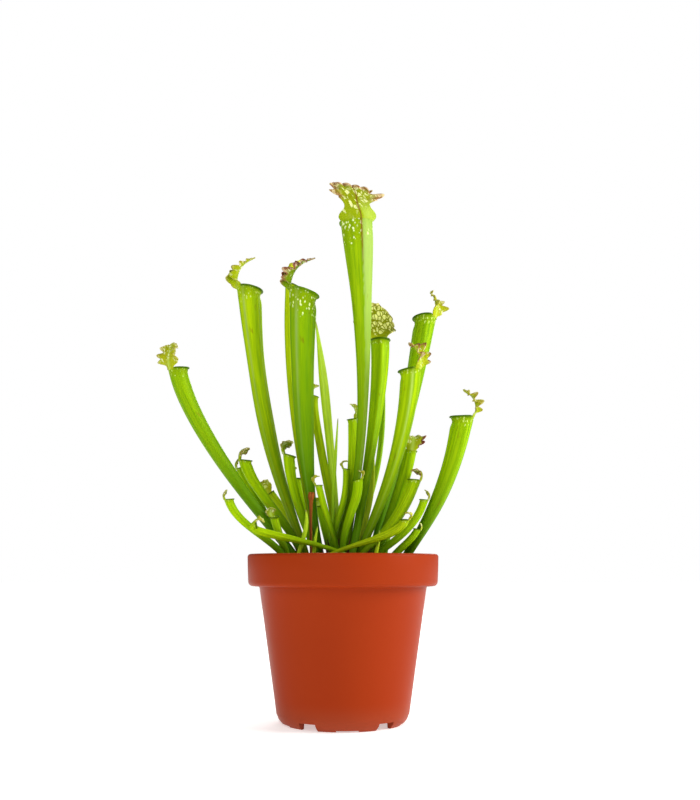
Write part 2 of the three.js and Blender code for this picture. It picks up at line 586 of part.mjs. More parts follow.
function potBody() {
  const floorTop = FLOOR_HEIGHT + FLOOR_THICK;
  const slope = (BODY_TOP_RADIUS - BODY_LOW_RADIUS) / (BAND_BOTTOM - CREASE_HEIGHT);
  const innerLow = BODY_LOW_RADIUS + slope * (floorTop - CREASE_HEIGHT) - POT_WALL;
  const bandFloor = BAND_BOTTOM + POT_WALL;
  const bandInner = BAND_LOW_RADIUS - POT_WALL - BAND_SLACK;
  const rimInner = RIM_RADIUS - RIM_ROUND;
  const profile = [
    [0, FLOOR_HEIGHT],
    [FOOT_RADIUS - FOOT_WALL - FOOT_SLOPE, FLOOR_HEIGHT],
    [FOOT_RADIUS - FOOT_WALL, 0],
    [FOOT_RADIUS, 0],
    [FOOT_RADIUS + FOOT_SPREAD, CREASE_HEIGHT * 0.42],
    [BODY_LOW_RADIUS, CREASE_HEIGHT],
    [BODY_TOP_RADIUS, BAND_BOTTOM],
    [BAND_LOW_RADIUS - BAND_ROUND, BAND_BOTTOM],
    [BAND_LOW_RADIUS - BAND_ROUND * 0.3, BAND_BOTTOM + BAND_ROUND * 0.3],
    [BAND_LOW_RADIUS, BAND_BOTTOM + BAND_ROUND],
    [RIM_RADIUS, POT_HEIGHT - RIM_ROUND],
    [RIM_RADIUS - RIM_ROUND * 0.3, POT_HEIGHT - RIM_ROUND * 0.3],
    [RIM_RADIUS - RIM_ROUND * 0.7, POT_HEIGHT],
    [rimInner, POT_HEIGHT - RIM_ROUND * 0.2],
    [rimInner, POT_HEIGHT - RIM_ROUND],
    [bandInner, bandFloor + SHOULDER_ROUND],
    [bandInner - SHOULDER_ROUND, bandFloor],
    [BODY_TOP_RADIUS - POT_WALL + SHOULDER_ROUND / 2, bandFloor],
    [BODY_TOP_RADIUS - POT_WALL, bandFloor - SHOULDER_ROUND],
    [innerLow, floorTop],
    [0, floorTop],
  ];
  let body = solid(turned(profile, POT_SIDES));
  const step = 360 / FOOT_COUNT;
  for (let i = 0; i < FOOT_COUNT; i += 1) {
    const foot = FOOT_MIDDLE + step * i;
    const notch = foot + step / 2;
    const inner = FOOT_RADIUS - NOTCH_DEPTH;
    const outer = BODY_TOP_RADIUS;
    body = body.subtract(solid(ringSlice(notch, NOTCH_ANGLE, inner, outer, -1, FLOOR_HEIGHT)));
    body = body.subtract(solid(ringSlice(foot, RECESS_ANGLE, inner, outer, -1, RECESS_HEIGHT)));
    const turn = THREE.MathUtils.degToRad(notch);
    const x = DRAIN_CIRCLE * Math.cos(turn);
    const y = DRAIN_CIRCLE * Math.sin(turn);
    body = body.subtract(solid(upright(DRAIN_RADIUS, FLOOR_HEIGHT - 1, floorTop + 1, x, y, DRAIN_SIDES)));
  }
  return body.subtract(solid(upright(DRAIN_RADIUS, FLOOR_HEIGHT - 1, floorTop + 1, 0, 0, DRAIN_SIDES)));
}

// The rootstock: a knobbly bar that lies in the soil under the leaves.
function crownBody(grow) {
  const top = PEG_BOTTOM - GAP;
  const ball = new THREE.SphereGeometry(1, 14, 7);
  ball.rotateX(Math.PI / 2);
  const place = ball.getAttribute("position");
  for (let i = 0; i < place.count; i += 1) {
    const x = place.getX(i);
    const y = place.getY(i);
    const z = place.getZ(i);
    const knob = 1 + CROWN_KNOBS * Math.sin(9 * x + 2) * Math.cos(7 * y);
    const round = Math.abs(z) > 0.99 ? 1 : knob;
    place.setXYZ(
      i,
      x * round * (CROWN_LENGTH / 2 + grow) + CROWN_MIDDLE,
      y * round * (CROWN_WIDTH + grow),
      top - CROWN_DEPTH / 2 + z * (CROWN_DEPTH / 2 + (z < 0 ? grow : grow * 0.9)),
    );
  }
  return solid(ball);
}

function soilBody() {
  const floorTop = FLOOR_HEIGHT + FLOOR_THICK + GAP;
  const slope = (BODY_TOP_RADIUS - BODY_LOW_RADIUS) / (BAND_BOTTOM - CREASE_HEIGHT);
  const wallLow = BODY_LOW_RADIUS + slope * (floorTop - CREASE_HEIGHT) - POT_WALL - GAP * 1.5;
  const shoulder = BAND_BOTTOM + POT_WALL + GAP;
  const edge = BAND_LOW_RADIUS - POT_WALL - BAND_SLACK - GAP * 3;
  const profile = [
    [0, floorTop],
    [wallLow, floorTop],
    [BODY_TOP_RADIUS - POT_WALL - GAP * 1.5, shoulder - SHOULDER_ROUND],
    [BODY_TOP_RADIUS - POT_WALL + SHOULDER_ROUND / 4, shoulder],
    [edge - SHOULDER_ROUND, shoulder],
    [edge, shoulder + SHOULDER_ROUND + GAP],
    [edge, SOIL_TOP - 1],
    ...SOIL_RINGS.map((radius) => [radius, SOIL_TOP]),
  ];
  const block = turned(profile, SOIL_SIDES);
  const place = block.getAttribute("position");
  for (let i = 0; i < place.count; i += 1) {
    const x = place.getX(i);
    const y = place.getY(i);
    if (place.getZ(i) > SOIL_TOP - 2) {
      const heap = Math.sin(x * 0.16 + 1) * Math.cos(y * 0.19) + 0.6 * Math.sin(y * 0.31 - x * 0.22);
      place.setZ(i, place.getZ(i) + HEAP * (heap - 0.75));
    }
  }
  let soil = solid(block).subtract(crownBody(GAP));
  for (const leaf of LEAVES) {
    const radius = (leaf.widths[0] / 2 + GAP) / Math.cos(Math.PI / PEG_SIDES);
    const [x, y] = leaf.foot;
    soil = soil.subtract(solid(upright(radius, PEG_BOTTOM - 2 * GAP, SOIL_TOP + 4, x, y, PEG_SIDES)));
  }
  return cleaned(soil);
}

const LOOKS = {
  pot: { color: 0xb8452a, roughness: 0.45 },
  soil: { color: 0x3a2a1d, roughness: 1 },
  crown: { color: 0x6b4a2c, roughness: 0.9 },
  dried: { color: 0x7a3b1e, roughness: 0.9 },
  leaf: { color: 0x9cc014, roughness: 0.45 },
};

const plant = new THREE.Group();

function addPiece(name, body, look) {
  const material = new THREE.MeshStandardMaterial({ ...LOOKS[look], metalness: 0 });
  const mesh = new THREE.Mesh(geometryOf(body), material);
  mesh.name = name;
  plant.add(mesh);
}

addPiece("pot", potBody(), "pot");
addPiece("soil", soilBody(), "soil");
addPiece("rootstock", crownBody(0), "crown");
for (const leaf of LEAVES) addPiece(leaf.name, leafBody(leaf), leaf.name === "dried_stub" ? "dried" : "leaf");

// The origin is the middle of the underside of the whole plant's box.
const span = new THREE.Box3().setFromObject(plant);
const middle = span.getCenter(new THREE.Vector3());
plant.position.set(-middle.x, -middle.y, -span.min.z);

const group = new THREE.Group();
group.add(plant);
group.updateMatrixWorld(true);

export default group;
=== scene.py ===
import math
import random
from dataclasses import dataclass

import bpy
import numpy as np
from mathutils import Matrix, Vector


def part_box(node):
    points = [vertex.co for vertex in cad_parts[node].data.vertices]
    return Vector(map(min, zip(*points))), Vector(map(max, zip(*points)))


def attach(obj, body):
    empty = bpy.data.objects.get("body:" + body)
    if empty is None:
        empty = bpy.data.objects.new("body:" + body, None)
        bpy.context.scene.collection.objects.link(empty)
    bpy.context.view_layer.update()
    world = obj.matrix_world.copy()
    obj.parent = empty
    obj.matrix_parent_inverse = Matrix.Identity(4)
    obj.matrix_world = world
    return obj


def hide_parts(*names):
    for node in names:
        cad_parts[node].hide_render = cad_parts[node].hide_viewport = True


bl_info = {
    "name": "Potted trumpet pitcher plant",
    "version": (1, 0, 0),
    "blender": (4, 5, 0),
    "location": "3D View > Sidebar > Pitcher plant",
    "description": "Builds a clump of trumpet pitchers in a terracotta coloured plastic pot",
    "category": "Add Mesh",
}

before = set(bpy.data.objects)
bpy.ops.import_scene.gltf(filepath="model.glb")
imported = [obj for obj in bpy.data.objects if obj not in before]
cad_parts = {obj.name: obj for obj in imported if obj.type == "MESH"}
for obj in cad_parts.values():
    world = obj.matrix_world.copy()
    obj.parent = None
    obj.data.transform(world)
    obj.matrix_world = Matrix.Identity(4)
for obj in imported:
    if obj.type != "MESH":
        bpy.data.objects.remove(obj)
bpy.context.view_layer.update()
MM = 0.001

# The corners of the pot's box in metres, and the pot's upright axis in millimetres
POT_LOW, POT_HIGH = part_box("pot")
AXIS_X = (POT_LOW.x + POT_HIGH.x) / 2 / MM
AXIS_Y = (POT_LOW.y + POT_HIGH.y) / 2 / MM

# Heights of a leaf's buried foot, of the start of its bend and of the soil, and the thickness of a
# tube's wall, in millimetres, as the solids have them
PEG_BOTTOM = 99.0
BEND_START = 107.5
SOIL_TOP = 106.0
WALL = 0.95

# How far under the mouth a tube's wall ends and its cup and hood start, in mouth radii
UNDER_MOUTH = 0.3
# Where the roll of the lip starts and ends, in degrees
LIP_TURN = (-118, 150)
# The least radius of a stalk, in millimetres
THINNEST = 0.42
# Less bend than this counts as flat
LEAST_BEND = 1e-4

# The camera, set to match the photograph: the focal length and the photograph's height in pixels,
# the sensor in millimetres, the eye's place beside the pot's axis in millimetres, in front of it
# and above the ground in metres, and its tilt in degrees
FOCAL_PIXELS = 937
PHOTO_HEIGHT = 800
SENSOR = 36
EYE_ASIDE = 5.1
EYE_AWAY = 0.7
EYE_HEIGHT = 0.1092
EYE_TILT = 100.1

# Rows and columns of each size of leaf: round the tube, along it, round the lip, down the cup,
# along the hood and across it
FINENESS = {
    "large": {"sides": 64, "rings": 84, "lip": 9, "cup": 14, "rows": 52, "columns": 44},
    "middle": {"sides": 40, "rings": 48, "lip": 7, "cup": 8, "rows": 32, "columns": 28},
    "small": {"sides": 32, "rings": 34, "lip": 6, "cup": 6, "rows": 22, "columns": 18},
    "stub": {"sides": 14, "rings": 10},
}


@dataclass(frozen=True)
class Hood:
    """A hood, in millimetres, degrees and shares of its length."""

    length: float
    width: float
    lean: float  # degrees forward at its foot
    curl: float  # degrees forward at its tip
    back: float  # how far its wings turn back, below 0 forward
    frill: float  # height of its broad waves
    waves: float  # how fast these follow each other
    phase: float  # where they start
    neck: float = 0.8  # how far its foot reaches round the tube, in radians
    opens: float = 0.06  # where it starts to widen
    blunt: float = 0.93  # how much its end narrows, so a small value leaves it blunt
    sway: float = 0  # how far its tip stands to one side
    offset: float = 0  # how far its wide part is moved across
    tilt: float = 0  # how much higher one wing stands


@dataclass(frozen=True)
class Marks:
    """What the solids leave out of a leaf."""

    beak: float = 0.22  # how far the lip juts at the front, in mouth radii
    roll: float = 1  # thickness of the lip
    spots: float = 0.9  # how far the pale windows run down from the mouth, in mouth radii
    rib: float = 0  # the brown line up the back
    pale: str = "none"  # which side of the back gets a painted highlight, the white surround's reflection: none, left or both
    yellow: float = 0.1  # a yellow tint over the whole leaf
    dark: float = 0  # a dark tint over the whole leaf
    bright: float = 0  # whiter windows and a wider coloured edge of the hood
    gold: float = 0.3  # a golden tint over the hood
    pink: float = 0.3  # red in the hood's edge
    purple: float = 0  # purple in the hood's edge
    net: float = 0  # a hood that is all windows and veins
    panes: float = 0.55  # share of windows in the hood
    crimp: float = 5.6  # length of one frill in millimetres
    ruffle: float = 1  # depth of the frills
    lobes: float = 0.08  # depth of the edge's broad lobes
    turned: float = 0.5  # where the wings have turned back
    fold: float = 1  # how far they turn, against the solid
    breadth: float = 1  # how wide they are, against the solid
    waist: float = 0  # how much the hood narrows above its foot
    flare: float = 0  # how far its foot turns out, in millimetres


@dataclass(frozen=True)
class Leaf:
    """A leaf as the solids have it, in millimetres. Places count from the pot's axis on the ground."""

    name: str
    size: str
    faces: float  # where its front looks, in degrees round the pot
    foot: tuple
    rise: float  # how far it is drawn straight up out of the soil
    reach: tuple  # the place that it bends towards
    mouth: tuple  # the middle of its mouth, or its tip
    widths: tuple  # its widths from the soil to the mouth, evenly spread
    cup: float = 0  # depth of the hollow
    droop: float = 0.2  # how much lower the front of the mouth is than its middle, in mouth radii
    ridge: float = 0.1  # height of the seam up the front, against the radius
    flat: float = 1  # thickness against the width, for a leaf without a mouth
    torn: bool = False  # dead, with a torn head
    hood: Hood = None
    marks: Marks = Marks()


LEAVES = (
    Leaf(
        "pitcher_tallest", "large", faces=106, foot=(3, 3), rise=56, reach=(24, -21, 179),
        mouth=(10, -30, 365), widths=(4.1, 5.6, 8.3, 14.3, 24), cup=90, droop=0.1, ridge=0.2,
        hood=Hood(length=30, width=35, lean=-2, curl=30, back=-0.1, frill=2, waves=8, phase=0.4,
            neck=1.5, opens=0.34, blunt=0.4, sway=6, offset=-3, tilt=3.5),
        marks=Marks(beak=0.1, spots=2.7, rib=1, pink=0.8, yellow=0.3, dark=0.3, pale="left", bright=1,
            crimp=6.8, lobes=0.14, roll=0.7, gold=0.12, waist=0.45, flare=2.2, net=0.5, ruffle=1.3,
            panes=0.5),
    ),
    Leaf(
        "pitcher_left", "large", faces=18, foot=(-26, 12), rise=23, reach=(-64, 28, 170),
        mouth=(-78, 36, 332), widths=(4.9, 7.8, 11.9, 13.1, 18), cup=70, droop=0.22, ridge=0.2,
        hood=Hood(length=34, width=22, lean=4, curl=60, back=1.3, frill=1.8, waves=9, phase=1.1,
            neck=0.5, opens=-0.06),
        marks=Marks(beak=0.2, spots=1.7, pink=0.35, yellow=0.5, pale="both", gold=0, breadth=0.4,
            turned=0.3, fold=2.6),
    ),
    Leaf(
        "pitcher_centre_left", "large", faces=20, foot=(-15, 6), rise=14, reach=(-34, -10, 164),
        mouth=(-31, -20, 313), widths=(4.8, 6.5, 12.8, 16.2, 19.6), cup=75, droop=0.26, ridge=0.2,
        hood=Hood(length=34, width=24, lean=8, curl=66, back=1.4, frill=2, waves=9, phase=2.3,
            neck=0.5, opens=0),
        marks=Marks(beak=0.2, spots=2.6, pink=1, purple=0.3, dark=0.55, pale="both", bright=0.8,
            gold=0, breadth=0.35, turned=0.2, fold=2.4, ruffle=1.5, panes=0.5),
    ),
    Leaf(
        "pitcher_behind_centre_left", "large", faces=20, foot=(-17, 16), rise=6, reach=(-47, 22, 231),
        mouth=(-41, 26, 331), widths=(4.5, 5.7, 8.7, 10.5, 12), cup=50, droop=0.3, ridge=0.2,
        hood=Hood(length=25, width=9, lean=20, curl=32, back=1.1, frill=1.3, waves=8, phase=3.2,
            neck=0.5),
        marks=Marks(beak=0.2, spots=0.2, pink=0, yellow=1, lobes=0, gold=0.4, breadth=1.6, ruffle=0.2,
            panes=0),
    ),
    Leaf(
        "pitcher_net_hood", "large", faces=-84, foot=(5, -16), rise=6, reach=(31, 12, 231),
        mouth=(29, 28, 287), widths=(5.1, 6.3, 8.3, 11.9, 15), cup=50, droop=0.3, ridge=0.2,
        hood=Hood(length=39, width=32, lean=-10, curl=22, back=0.3, frill=0.8, waves=3, phase=2.6,
            sway=-3),
        marks=Marks(beak=0.3, spots=1.2, pink=0.2, lobes=0.04, gold=0.35, net=1, ruffle=0.25,
            panes=1.4),
    ),
    Leaf(
        "pitcher_right", "large", faces=154, foot=(18, 11), rise=6, reach=(46, 27, 188),
        mouth=(67, 40, 309), widths=(4.9, 6.4, 9.1, 13.1, 16.5), cup=65, ridge=0.2,
        hood=Hood(length=25, width=23, lean=0, curl=40, back=0.8, frill=2, waves=9, phase=0.9,
            neck=0.5),
        marks=Marks(beak=0.2, spots=1.5, dark=0.28, lobes=0.04, gold=0.5, breadth=0.75, turned=0.35,
            panes=0.6),
    ),
    Leaf(
        "pitcher_right_front", "large", faces=146, foot=(7, -5), rise=7, reach=(47, -17, 179),
        mouth=(50, -26, 252), widths=(5.1, 6.7, 8.8, 11.9, 14.6), cup=60, droop=0.22, ridge=0.2,
        hood=Hood(length=24, width=22, lean=-4, curl=64, back=1, frill=1.8, waves=9, phase=5.2,
            neck=0.6),
        marks=Marks(beak=0.25, spots=0.8, pink=0.9, yellow=0.3, pale="both", breadth=0.62, turned=0.3,
            fold=1.5, ruffle=1.3),
    ),
    Leaf(
        "pitcher_far_right", "large", faces=166, foot=(43, -4), rise=13, reach=(76, -18, 146),
        mouth=(88, -26, 217), widths=(5.9, 7.2, 10.2, 12.4, 14.6), cup=60, ridge=0.2,
        hood=Hood(length=24, width=14, lean=-4, curl=66, back=1.2, frill=1.5, waves=8, phase=2.7,
            neck=0.5),
        marks=Marks(beak=0.26, spots=1.2, pink=0.4, dark=0.2, breadth=0.8, turned=0.4, ruffle=1.4),
    ),
    Leaf(
        "pitcher_far_left", "large", faces=44, foot=(-30, -4), rise=6, reach=(-111, -20, 199),
        mouth=(-121, -30, 252), widths=(4.8, 6.7, 9.3, 11.4, 13.4), cup=65, droop=0.15, ridge=0.2,
        hood=Hood(length=21, width=26, lean=2, curl=40, back=0.45, frill=2, waves=9, phase=1.8,
            neck=0.5),
        marks=Marks(beak=0.2, spots=1.5, pink=0.25, dark=0.45, crimp=5.4, lobes=0.02, gold=0.5,
            breadth=0.8, ruffle=1.1, panes=0.5),
    ),
    Leaf(
        "young_left", "middle", faces=0, foot=(-29, 3), rise=26, reach=(-71, 1, 165),
        mouth=(-74, 0, 188), widths=(5.2, 5.5, 6.5, 7.2, 8.6), cup=26, droop=0.25, ridge=0.15,
        hood=Hood(length=15, width=11, lean=6, curl=96, back=0.9, frill=0.8, waves=7, phase=0.5),
        marks=Marks(pink=0.6, gold=0.1, breadth=1.7, fold=-0.4),
    ),
    Leaf(
        "young_left_behind", "middle", faces=10, foot=(-32, 12), rise=13, reach=(-53, 10, 128),
        mouth=(-78, 10, 183), widths=(4.5, 4.7, 5.5, 6.1, 7), cup=16, ridge=0.15,
        hood=Hood(length=10, width=7, lean=4, curl=70, back=0.8, frill=0.5, waves=6, phase=2.2),
        marks=Marks(pink=0.2, dark=0.3, gold=0, breadth=1.5, fold=-0.5),
    ),
    Leaf(
        "young_centre_left", "middle", faces=-12, foot=(-16, -5), rise=8, reach=(-41, 0, 159),
        mouth=(-41, 2, 192), widths=(4.8, 5.1, 6.2, 7, 8.4), cup=26, droop=0.3, ridge=0.15,
        hood=Hood(length=17, width=10, lean=-18, curl=100, back=0.9, frill=0.8, waves=7, phase=1.4),
        marks=Marks(gold=0, breadth=1.7, fold=-0.3, ruffle=1.5),
    ),
    Leaf(
        "young_frilled_back", "middle", faces=100, foot=(20, 1), rise=6, reach=(42, -1, 153),
        mouth=(50, -2, 195), widths=(5.9, 6.5, 8.6, 9.7, 10), cup=26, droop=0.15, ridge=0.15,
        hood=Hood(length=17, width=13, lean=-12, curl=85, back=0.6, frill=1.2, waves=8, phase=3.6),
        marks=Marks(pink=1, purple=0.6, bright=0.6, breadth=1.2, ruffle=1.4),
    ),
    Leaf(
        "young_curled_right", "middle", faces=180, foot=(11, -12), rise=19, reach=(36, -13, 124),
        mouth=(53, -12, 172), widths=(4.7, 5.1, 7, 8.3, 8.4), cup=24, droop=0.25, ridge=0.15,
        hood=Hood(length=16, width=10, lean=0, curl=135, back=0.8, frill=0.8, waves=7, phase=4.4),
        marks=Marks(pink=0.8, yellow=0.4, bright=0.5, breadth=1.5, fold=-0.3),
    ),
    Leaf(
        "young_veined", "middle", faces=-70, foot=(-29, 24), rise=24, reach=(-48, 30, 155),
        mouth=(-57, 32, 166), widths=(4.2, 4.2, 4.8, 5.3, 6.4), cup=18, droop=0.25, ridge=0.12,
        hood=Hood(length=13, width=9, lean=-10, curl=40, back=0.5, frill=0.5, waves=6, phase=5.1),
        marks=Marks(pink=0.2, yellow=1, gold=0.7, breadth=1.8, net=0.6, ruffle=0.5, panes=0.6),
    ),
    Leaf(
        "young_centre", "middle", faces=-150, foot=(-4, 4), rise=38, reach=(8, 5, 138),
        mouth=(7, 4, 220), widths=(3.7, 5.1, 6, 6.2, 6.8), cup=24, ridge=0.12,
        hood=Hood(length=14, width=8, lean=-8, curl=60, back=0.8, frill=0.6, waves=7, phase=0.2),
        marks=Marks(yellow=0.3),
    ),
    Leaf(
        "young_yellow", "middle", faces=-20, foot=(-3, 10), rise=33, reach=(-25, 10, 220),
        mouth=(-22, 12, 239), widths=(3.7, 4.5, 6.2, 6.2, 5), cup=14, ridge=0.12,
        hood=Hood(length=12, width=7, lean=-14, curl=80, back=0.7, frill=0.5, waves=6, phase=1),
        marks=Marks(yellow=0.8),
    ),
    Leaf(
        "young_front", "middle", faces=175, foot=(-1, -15), rise=38, reach=(13, -17, 153),
        mouth=(11, -18, 172), widths=(4, 4.2, 5.4, 6.4, 7), cup=18, ridge=0.12,
        hood=Hood(length=8, width=7, lean=-6, curl=60, back=0.6, frill=0.4, waves=5, phase=2.6),
    ),
    Leaf(
        "short_open", "small", faces=-50, foot=(-40, -12), rise=16, reach=(-42, -15, 117),
        mouth=(-50, -16, 145), widths=(5.2, 5.2, 5.4, 5.6, 6.2), cup=10, droop=0.3, ridge=0,
        hood=Hood(length=8, width=6, lean=-10, curl=50, back=0.5, frill=0, waves=5, phase=0),
        marks=Marks(gold=0, breadth=1.5, fold=-0.5),
    ),
    Leaf(
        "low_left", "small", faces=0, foot=(-39, -19), rise=18, reach=(-77, -25, 136),
        mouth=(-82, -26, 157), widths=(4.8, 4.8, 5, 5.4, 6.2), cup=10,
        hood=Hood(length=9, width=6, lean=-6, curl=70, back=0.6, frill=0.3, waves=5, phase=1),
        marks=Marks(gold=0.1, breadth=1.6, fold=-0.5),
    ),
    Leaf(
        "low_front_left", "small", faces=0, foot=(12, -20), rise=19, reach=(-80, -33, 132),
        mouth=(-61, -36, 139), widths=(2.9, 2.9, 4, 5.6, 5.4), cup=9,
        hood=Hood(length=8, width=6, lean=0, curl=70, back=0.5, frill=0.3, waves=5, phase=2.8),
        marks=Marks(yellow=0.4),
    ),
    Leaf(
        "low_front_right", "small", faces=180, foot=(-18, -25), rise=17, reach=(41, -34, 126),
        mouth=(44, -36, 142), widths=(2.8, 2.8, 4, 5.7, 6), cup=9,
        hood=Hood(length=9, width=7, lean=-10, curl=120, back=0.5, frill=0.3, waves=5, phase=3),
        marks=Marks(yellow=1),
    ),
    Leaf(
        "low_right", "small", faces=180, foot=(32, -18), rise=10, reach=(50, -17, 126),
        mouth=(54, -17, 136), widths=(4.6, 4.8, 5, 5, 5), cup=9,
        hood=Hood(length=7, width=5, lean=0, curl=70, back=0.4, frill=0.2, waves=5, phase=4),
        marks=Marks(breadth=0.8, fold=-1.5, ruffle=0.6),
    ),
    Leaf(
        "short_right", "small", faces=180, foot=(17, -20), rise=12, reach=(51, -20, 128),
        mouth=(59, -19, 157), widths=(4.6, 4.6, 5.1, 5.4, 5.6), cup=10,
        hood=Hood(length=10, width=6, lean=-8, curl=80, back=0.6, frill=0.3, waves=5, phase=5),
        marks=Marks(breadth=1.3, fold=-0.5),
    ),
    Leaf(
        "short_hooked", "small", faces=8, foot=(-9, -5), rise=38, reach=(3, -4, 147),
        mouth=(2, -3, 181), widths=(3.7, 3.9, 4.8, 4.6, 4.6), cup=9,
        hood=Hood(length=9, width=5, lean=-14, curl=90, back=0.6, frill=0.3, waves=5, phase=0.5),
    ),
    Leaf(
        "short_front", "small", faces=10, foot=(-3, -10), rise=19, reach=(-12, -13, 141),
        mouth=(-18, -14, 168), widths=(3.6, 3.7, 4.4, 4.7, 4.8), cup=9,
        hood=Hood(length=10, width=6, lean=-10, curl=90, back=0.6, frill=0.3, waves=5, phase=1.5),
    ),
    Leaf(
        "back_centre", "middle", faces=-96, foot=(11, 25), rise=18, reach=(13, 32, 149),
        mouth=(14, 36, 168), widths=(5, 5.7, 6.4, 7.2, 8), cup=20, droop=0.25, ridge=0.12,
        hood=Hood(length=13, width=9, lean=-8, curl=80, back=0.8, frill=0.7, waves=7, phase=2.9),
    ),
    Leaf(
        "back_left", "small", faces=-60, foot=(-9, 29), rise=15, reach=(-16, 39, 142),
        mouth=(-18, 44, 156), widths=(5, 5.3, 5.7, 6.4, 7), cup=12, droop=0.25,
        hood=Hood(length=10, width=7, lean=0, curl=80, back=0.6, frill=0.4, waves=5, phase=0.8),
    ),
    Leaf(
        "back_right", "middle", faces=-140, foot=(30, 19), rise=19, reach=(39, 31, 153),
        mouth=(42, 36, 172), widths=(5, 5.6, 6.3, 7.1, 8), cup=20, droop=0.25, ridge=0.12,
        hood=Hood(length=13, width=9, lean=-4, curl=90, back=0.8, frill=0.7, waves=7, phase=4.9),
    ),
    Leaf(
        "back_far_left", "middle", faces=-40, foot=(-21, 27), rise=21, reach=(-34, 38, 156),
        mouth=(-38, 42, 178), widths=(5, 5.6, 6.4, 7.2, 8), cup=20, droop=0.25, ridge=0.12,
        hood=Hood(length=13, width=9, lean=-4, curl=90, back=0.8, frill=0.7, waves=7, phase=3.9),
    ),
    Leaf(
        "flat_leaf_tall", "middle", faces=120, foot=(-2, 15), rise=6, reach=(-16, 22, 275),
        mouth=(-23, 26, 305), widths=(3.4, 3.9, 5, 5.5, 0.9), flat=0.3,
        marks=Marks(yellow=0.5, breadth=1.4),
    ),
    Leaf(
        "flat_leaf_right", "middle", faces=60, foot=(14, 7), rise=67, reach=(30, 20, 152),
        mouth=(32, 30, 255), widths=(3.7, 4.1, 4.6, 4.7, 2.4), flat=0.5,
        marks=Marks(dark=0.1),
    ),
    Leaf(
        "flat_leaf_yellow", "small", faces=90, foot=(9, 1), rise=27, reach=(20, 2, 131),
        mouth=(23, 10, 195), widths=(3.3, 3.5, 4.5, 5.2, 1.6), flat=0.5,
        marks=Marks(yellow=1),
    ),
    Leaf(
        "spear_centre", "small", faces=90, foot=(-7, 1), rise=66, reach=(-9, 0, 138),
        mouth=(-4, 0, 220), widths=(2.4, 2.5, 2.7, 2.4, 0.9),
    ),
    Leaf(
        "dried_stub", "small", faces=90, foot=(-23, -13), rise=16, reach=(-24, -14, 149),
        mouth=(-23, -15, 163), widths=(2.5, 2.6, 2.8, 3, 5), torn=True,
        marks=Marks(breadth=0.72),
    ),
    Leaf(
        "shoot_left", "small", faces=0, foot=(-21, -20), rise=12, reach=(-20, -22, 130),
        mouth=(-18, -22, 138), widths=(2.6, 2.8, 2.6, 2.2, 0.9),
        marks=Marks(yellow=0.6),
    ),
    Leaf(
        "shoot_curled", "small", faces=0, foot=(-34, -22), rise=10, reach=(-23, -21, 135),
        mouth=(-27, -21, 150), widths=(3, 3, 3, 3.2, 1.4),
        marks=Marks(yellow=0.5),
    ),
    Leaf(
        "shoot_right", "small", faces=0, foot=(22, -27), rise=8, reach=(26, -27, 125),
        mouth=(26, -26, 135), widths=(2.8, 3, 2.8, 2.4, 0.9),
        marks=Marks(yellow=0.8),
    ),
)


def shade(red, green, blue):
    """A colour given as it looks on a screen, 0 to 255, turned into light values."""
    values = []
    for part in (red, green, blue):
        share = part / 255
        values.append(share / 12.92 if share <= 0.04045 else ((share + 0.055) / 1.055) ** 2.4)
    return tuple(values)


# Colours without a setting of their own: tints of whole leaves
YELLOWER = shade(206, 212, 20)
DARKER = shade(64, 116, 4)
# The tubes
TUBE_BAND = shade(92, 144, 0)
TUBE_LINE = shade(78, 134, 6)
TUBE_SCAR = shade(126, 104, 16)
TUBE_SHADOW = shade(136, 158, 2)
TUBE_RIB = shade(122, 84, 24)
TUBE_FOOT = shade(82, 62, 30)
TUBE_INSIDE = shade(150, 176, 40)
DULL_WINDOW = shade(214, 230, 130)
# The hoods
HOOD_FOOT = shade(138, 164, 2)
HOOD_GOLD = shade(194, 190, 26)
HOOD_NET = shade(128, 136, 8)
HOOD_RIM = shade(182, 184, 70)
HOOD_PURPLE = shade(118, 40, 58)
HOOD_MIDRIB_AND_SHEEN = shade(184, 212, 92)
HOOD_RIB = shade(116, 74, 24)
EDGE_LIGHT = shade(214, 190, 146)
EDGE_DARK = shade(92, 58, 34)
CREAM = shade(240, 244, 190)
YELLOW_CREAM = shade(232, 234, 138)
PINK_CREAM = shade(222, 178, 150)
# The flat leaves
FLAT_LOW = shade(96, 150, 10)
FLAT_HIGH = shade(162, 206, 14)
FLAT_LINE = shade(88, 140, 8)
FLAT_TIP = shade(112, 88, 60)
FLAT_SHEATH = shade(110, 74, 34)
# Dead leaves
DRIED_LEAF = (shade(186, 100, 20), shade(120, 56, 8))
DEAD_SHEATH = (shade(112, 78, 44), shade(66, 34, 34))
CRACKS = shade(58, 30, 18)
# The pot
PLASTIC_CLOUD = shade(148, 40, 12)
PLASTIC_GRAIN = shade(196, 76, 34)
DUST = shade(150, 112, 92)
# Peat and bark
PEAT_DARK = shade(48, 33, 24)
PEAT_CRUMB = (shade(74, 52, 36), shade(46, 32, 24))
BARK_CRUMB = (shade(112, 78, 50), shade(78, 50, 32))
ROOT_BARK = (shade(120, 84, 52), shade(84, 54, 34))
PEAT_GAP_SHADE = shade(34, 23, 17)


# Settings that a user may change


class PotSettings(bpy.types.PropertyGroup):
    colour: bpy.props.FloatVectorProperty(
        name="Plastic", description="Colour of the pot's plastic", subtype="COLOR",
        default=shade(154, 50, 8),
    )
    height: bpy.props.FloatProperty(
        name="Height", description="Height of the pot over the ground", default=POT_HIGH.z, unit="LENGTH",
    )
    rim_radius: bpy.props.FloatProperty(
        name="Rim radius", description="Outer radius of the rim", default=70 * MM, unit="LENGTH",
    )
    wall: bpy.props.FloatProperty(
        name="Wall", description="Thickness of the pot's wall", default=2 * MM, unit="LENGTH",
    )


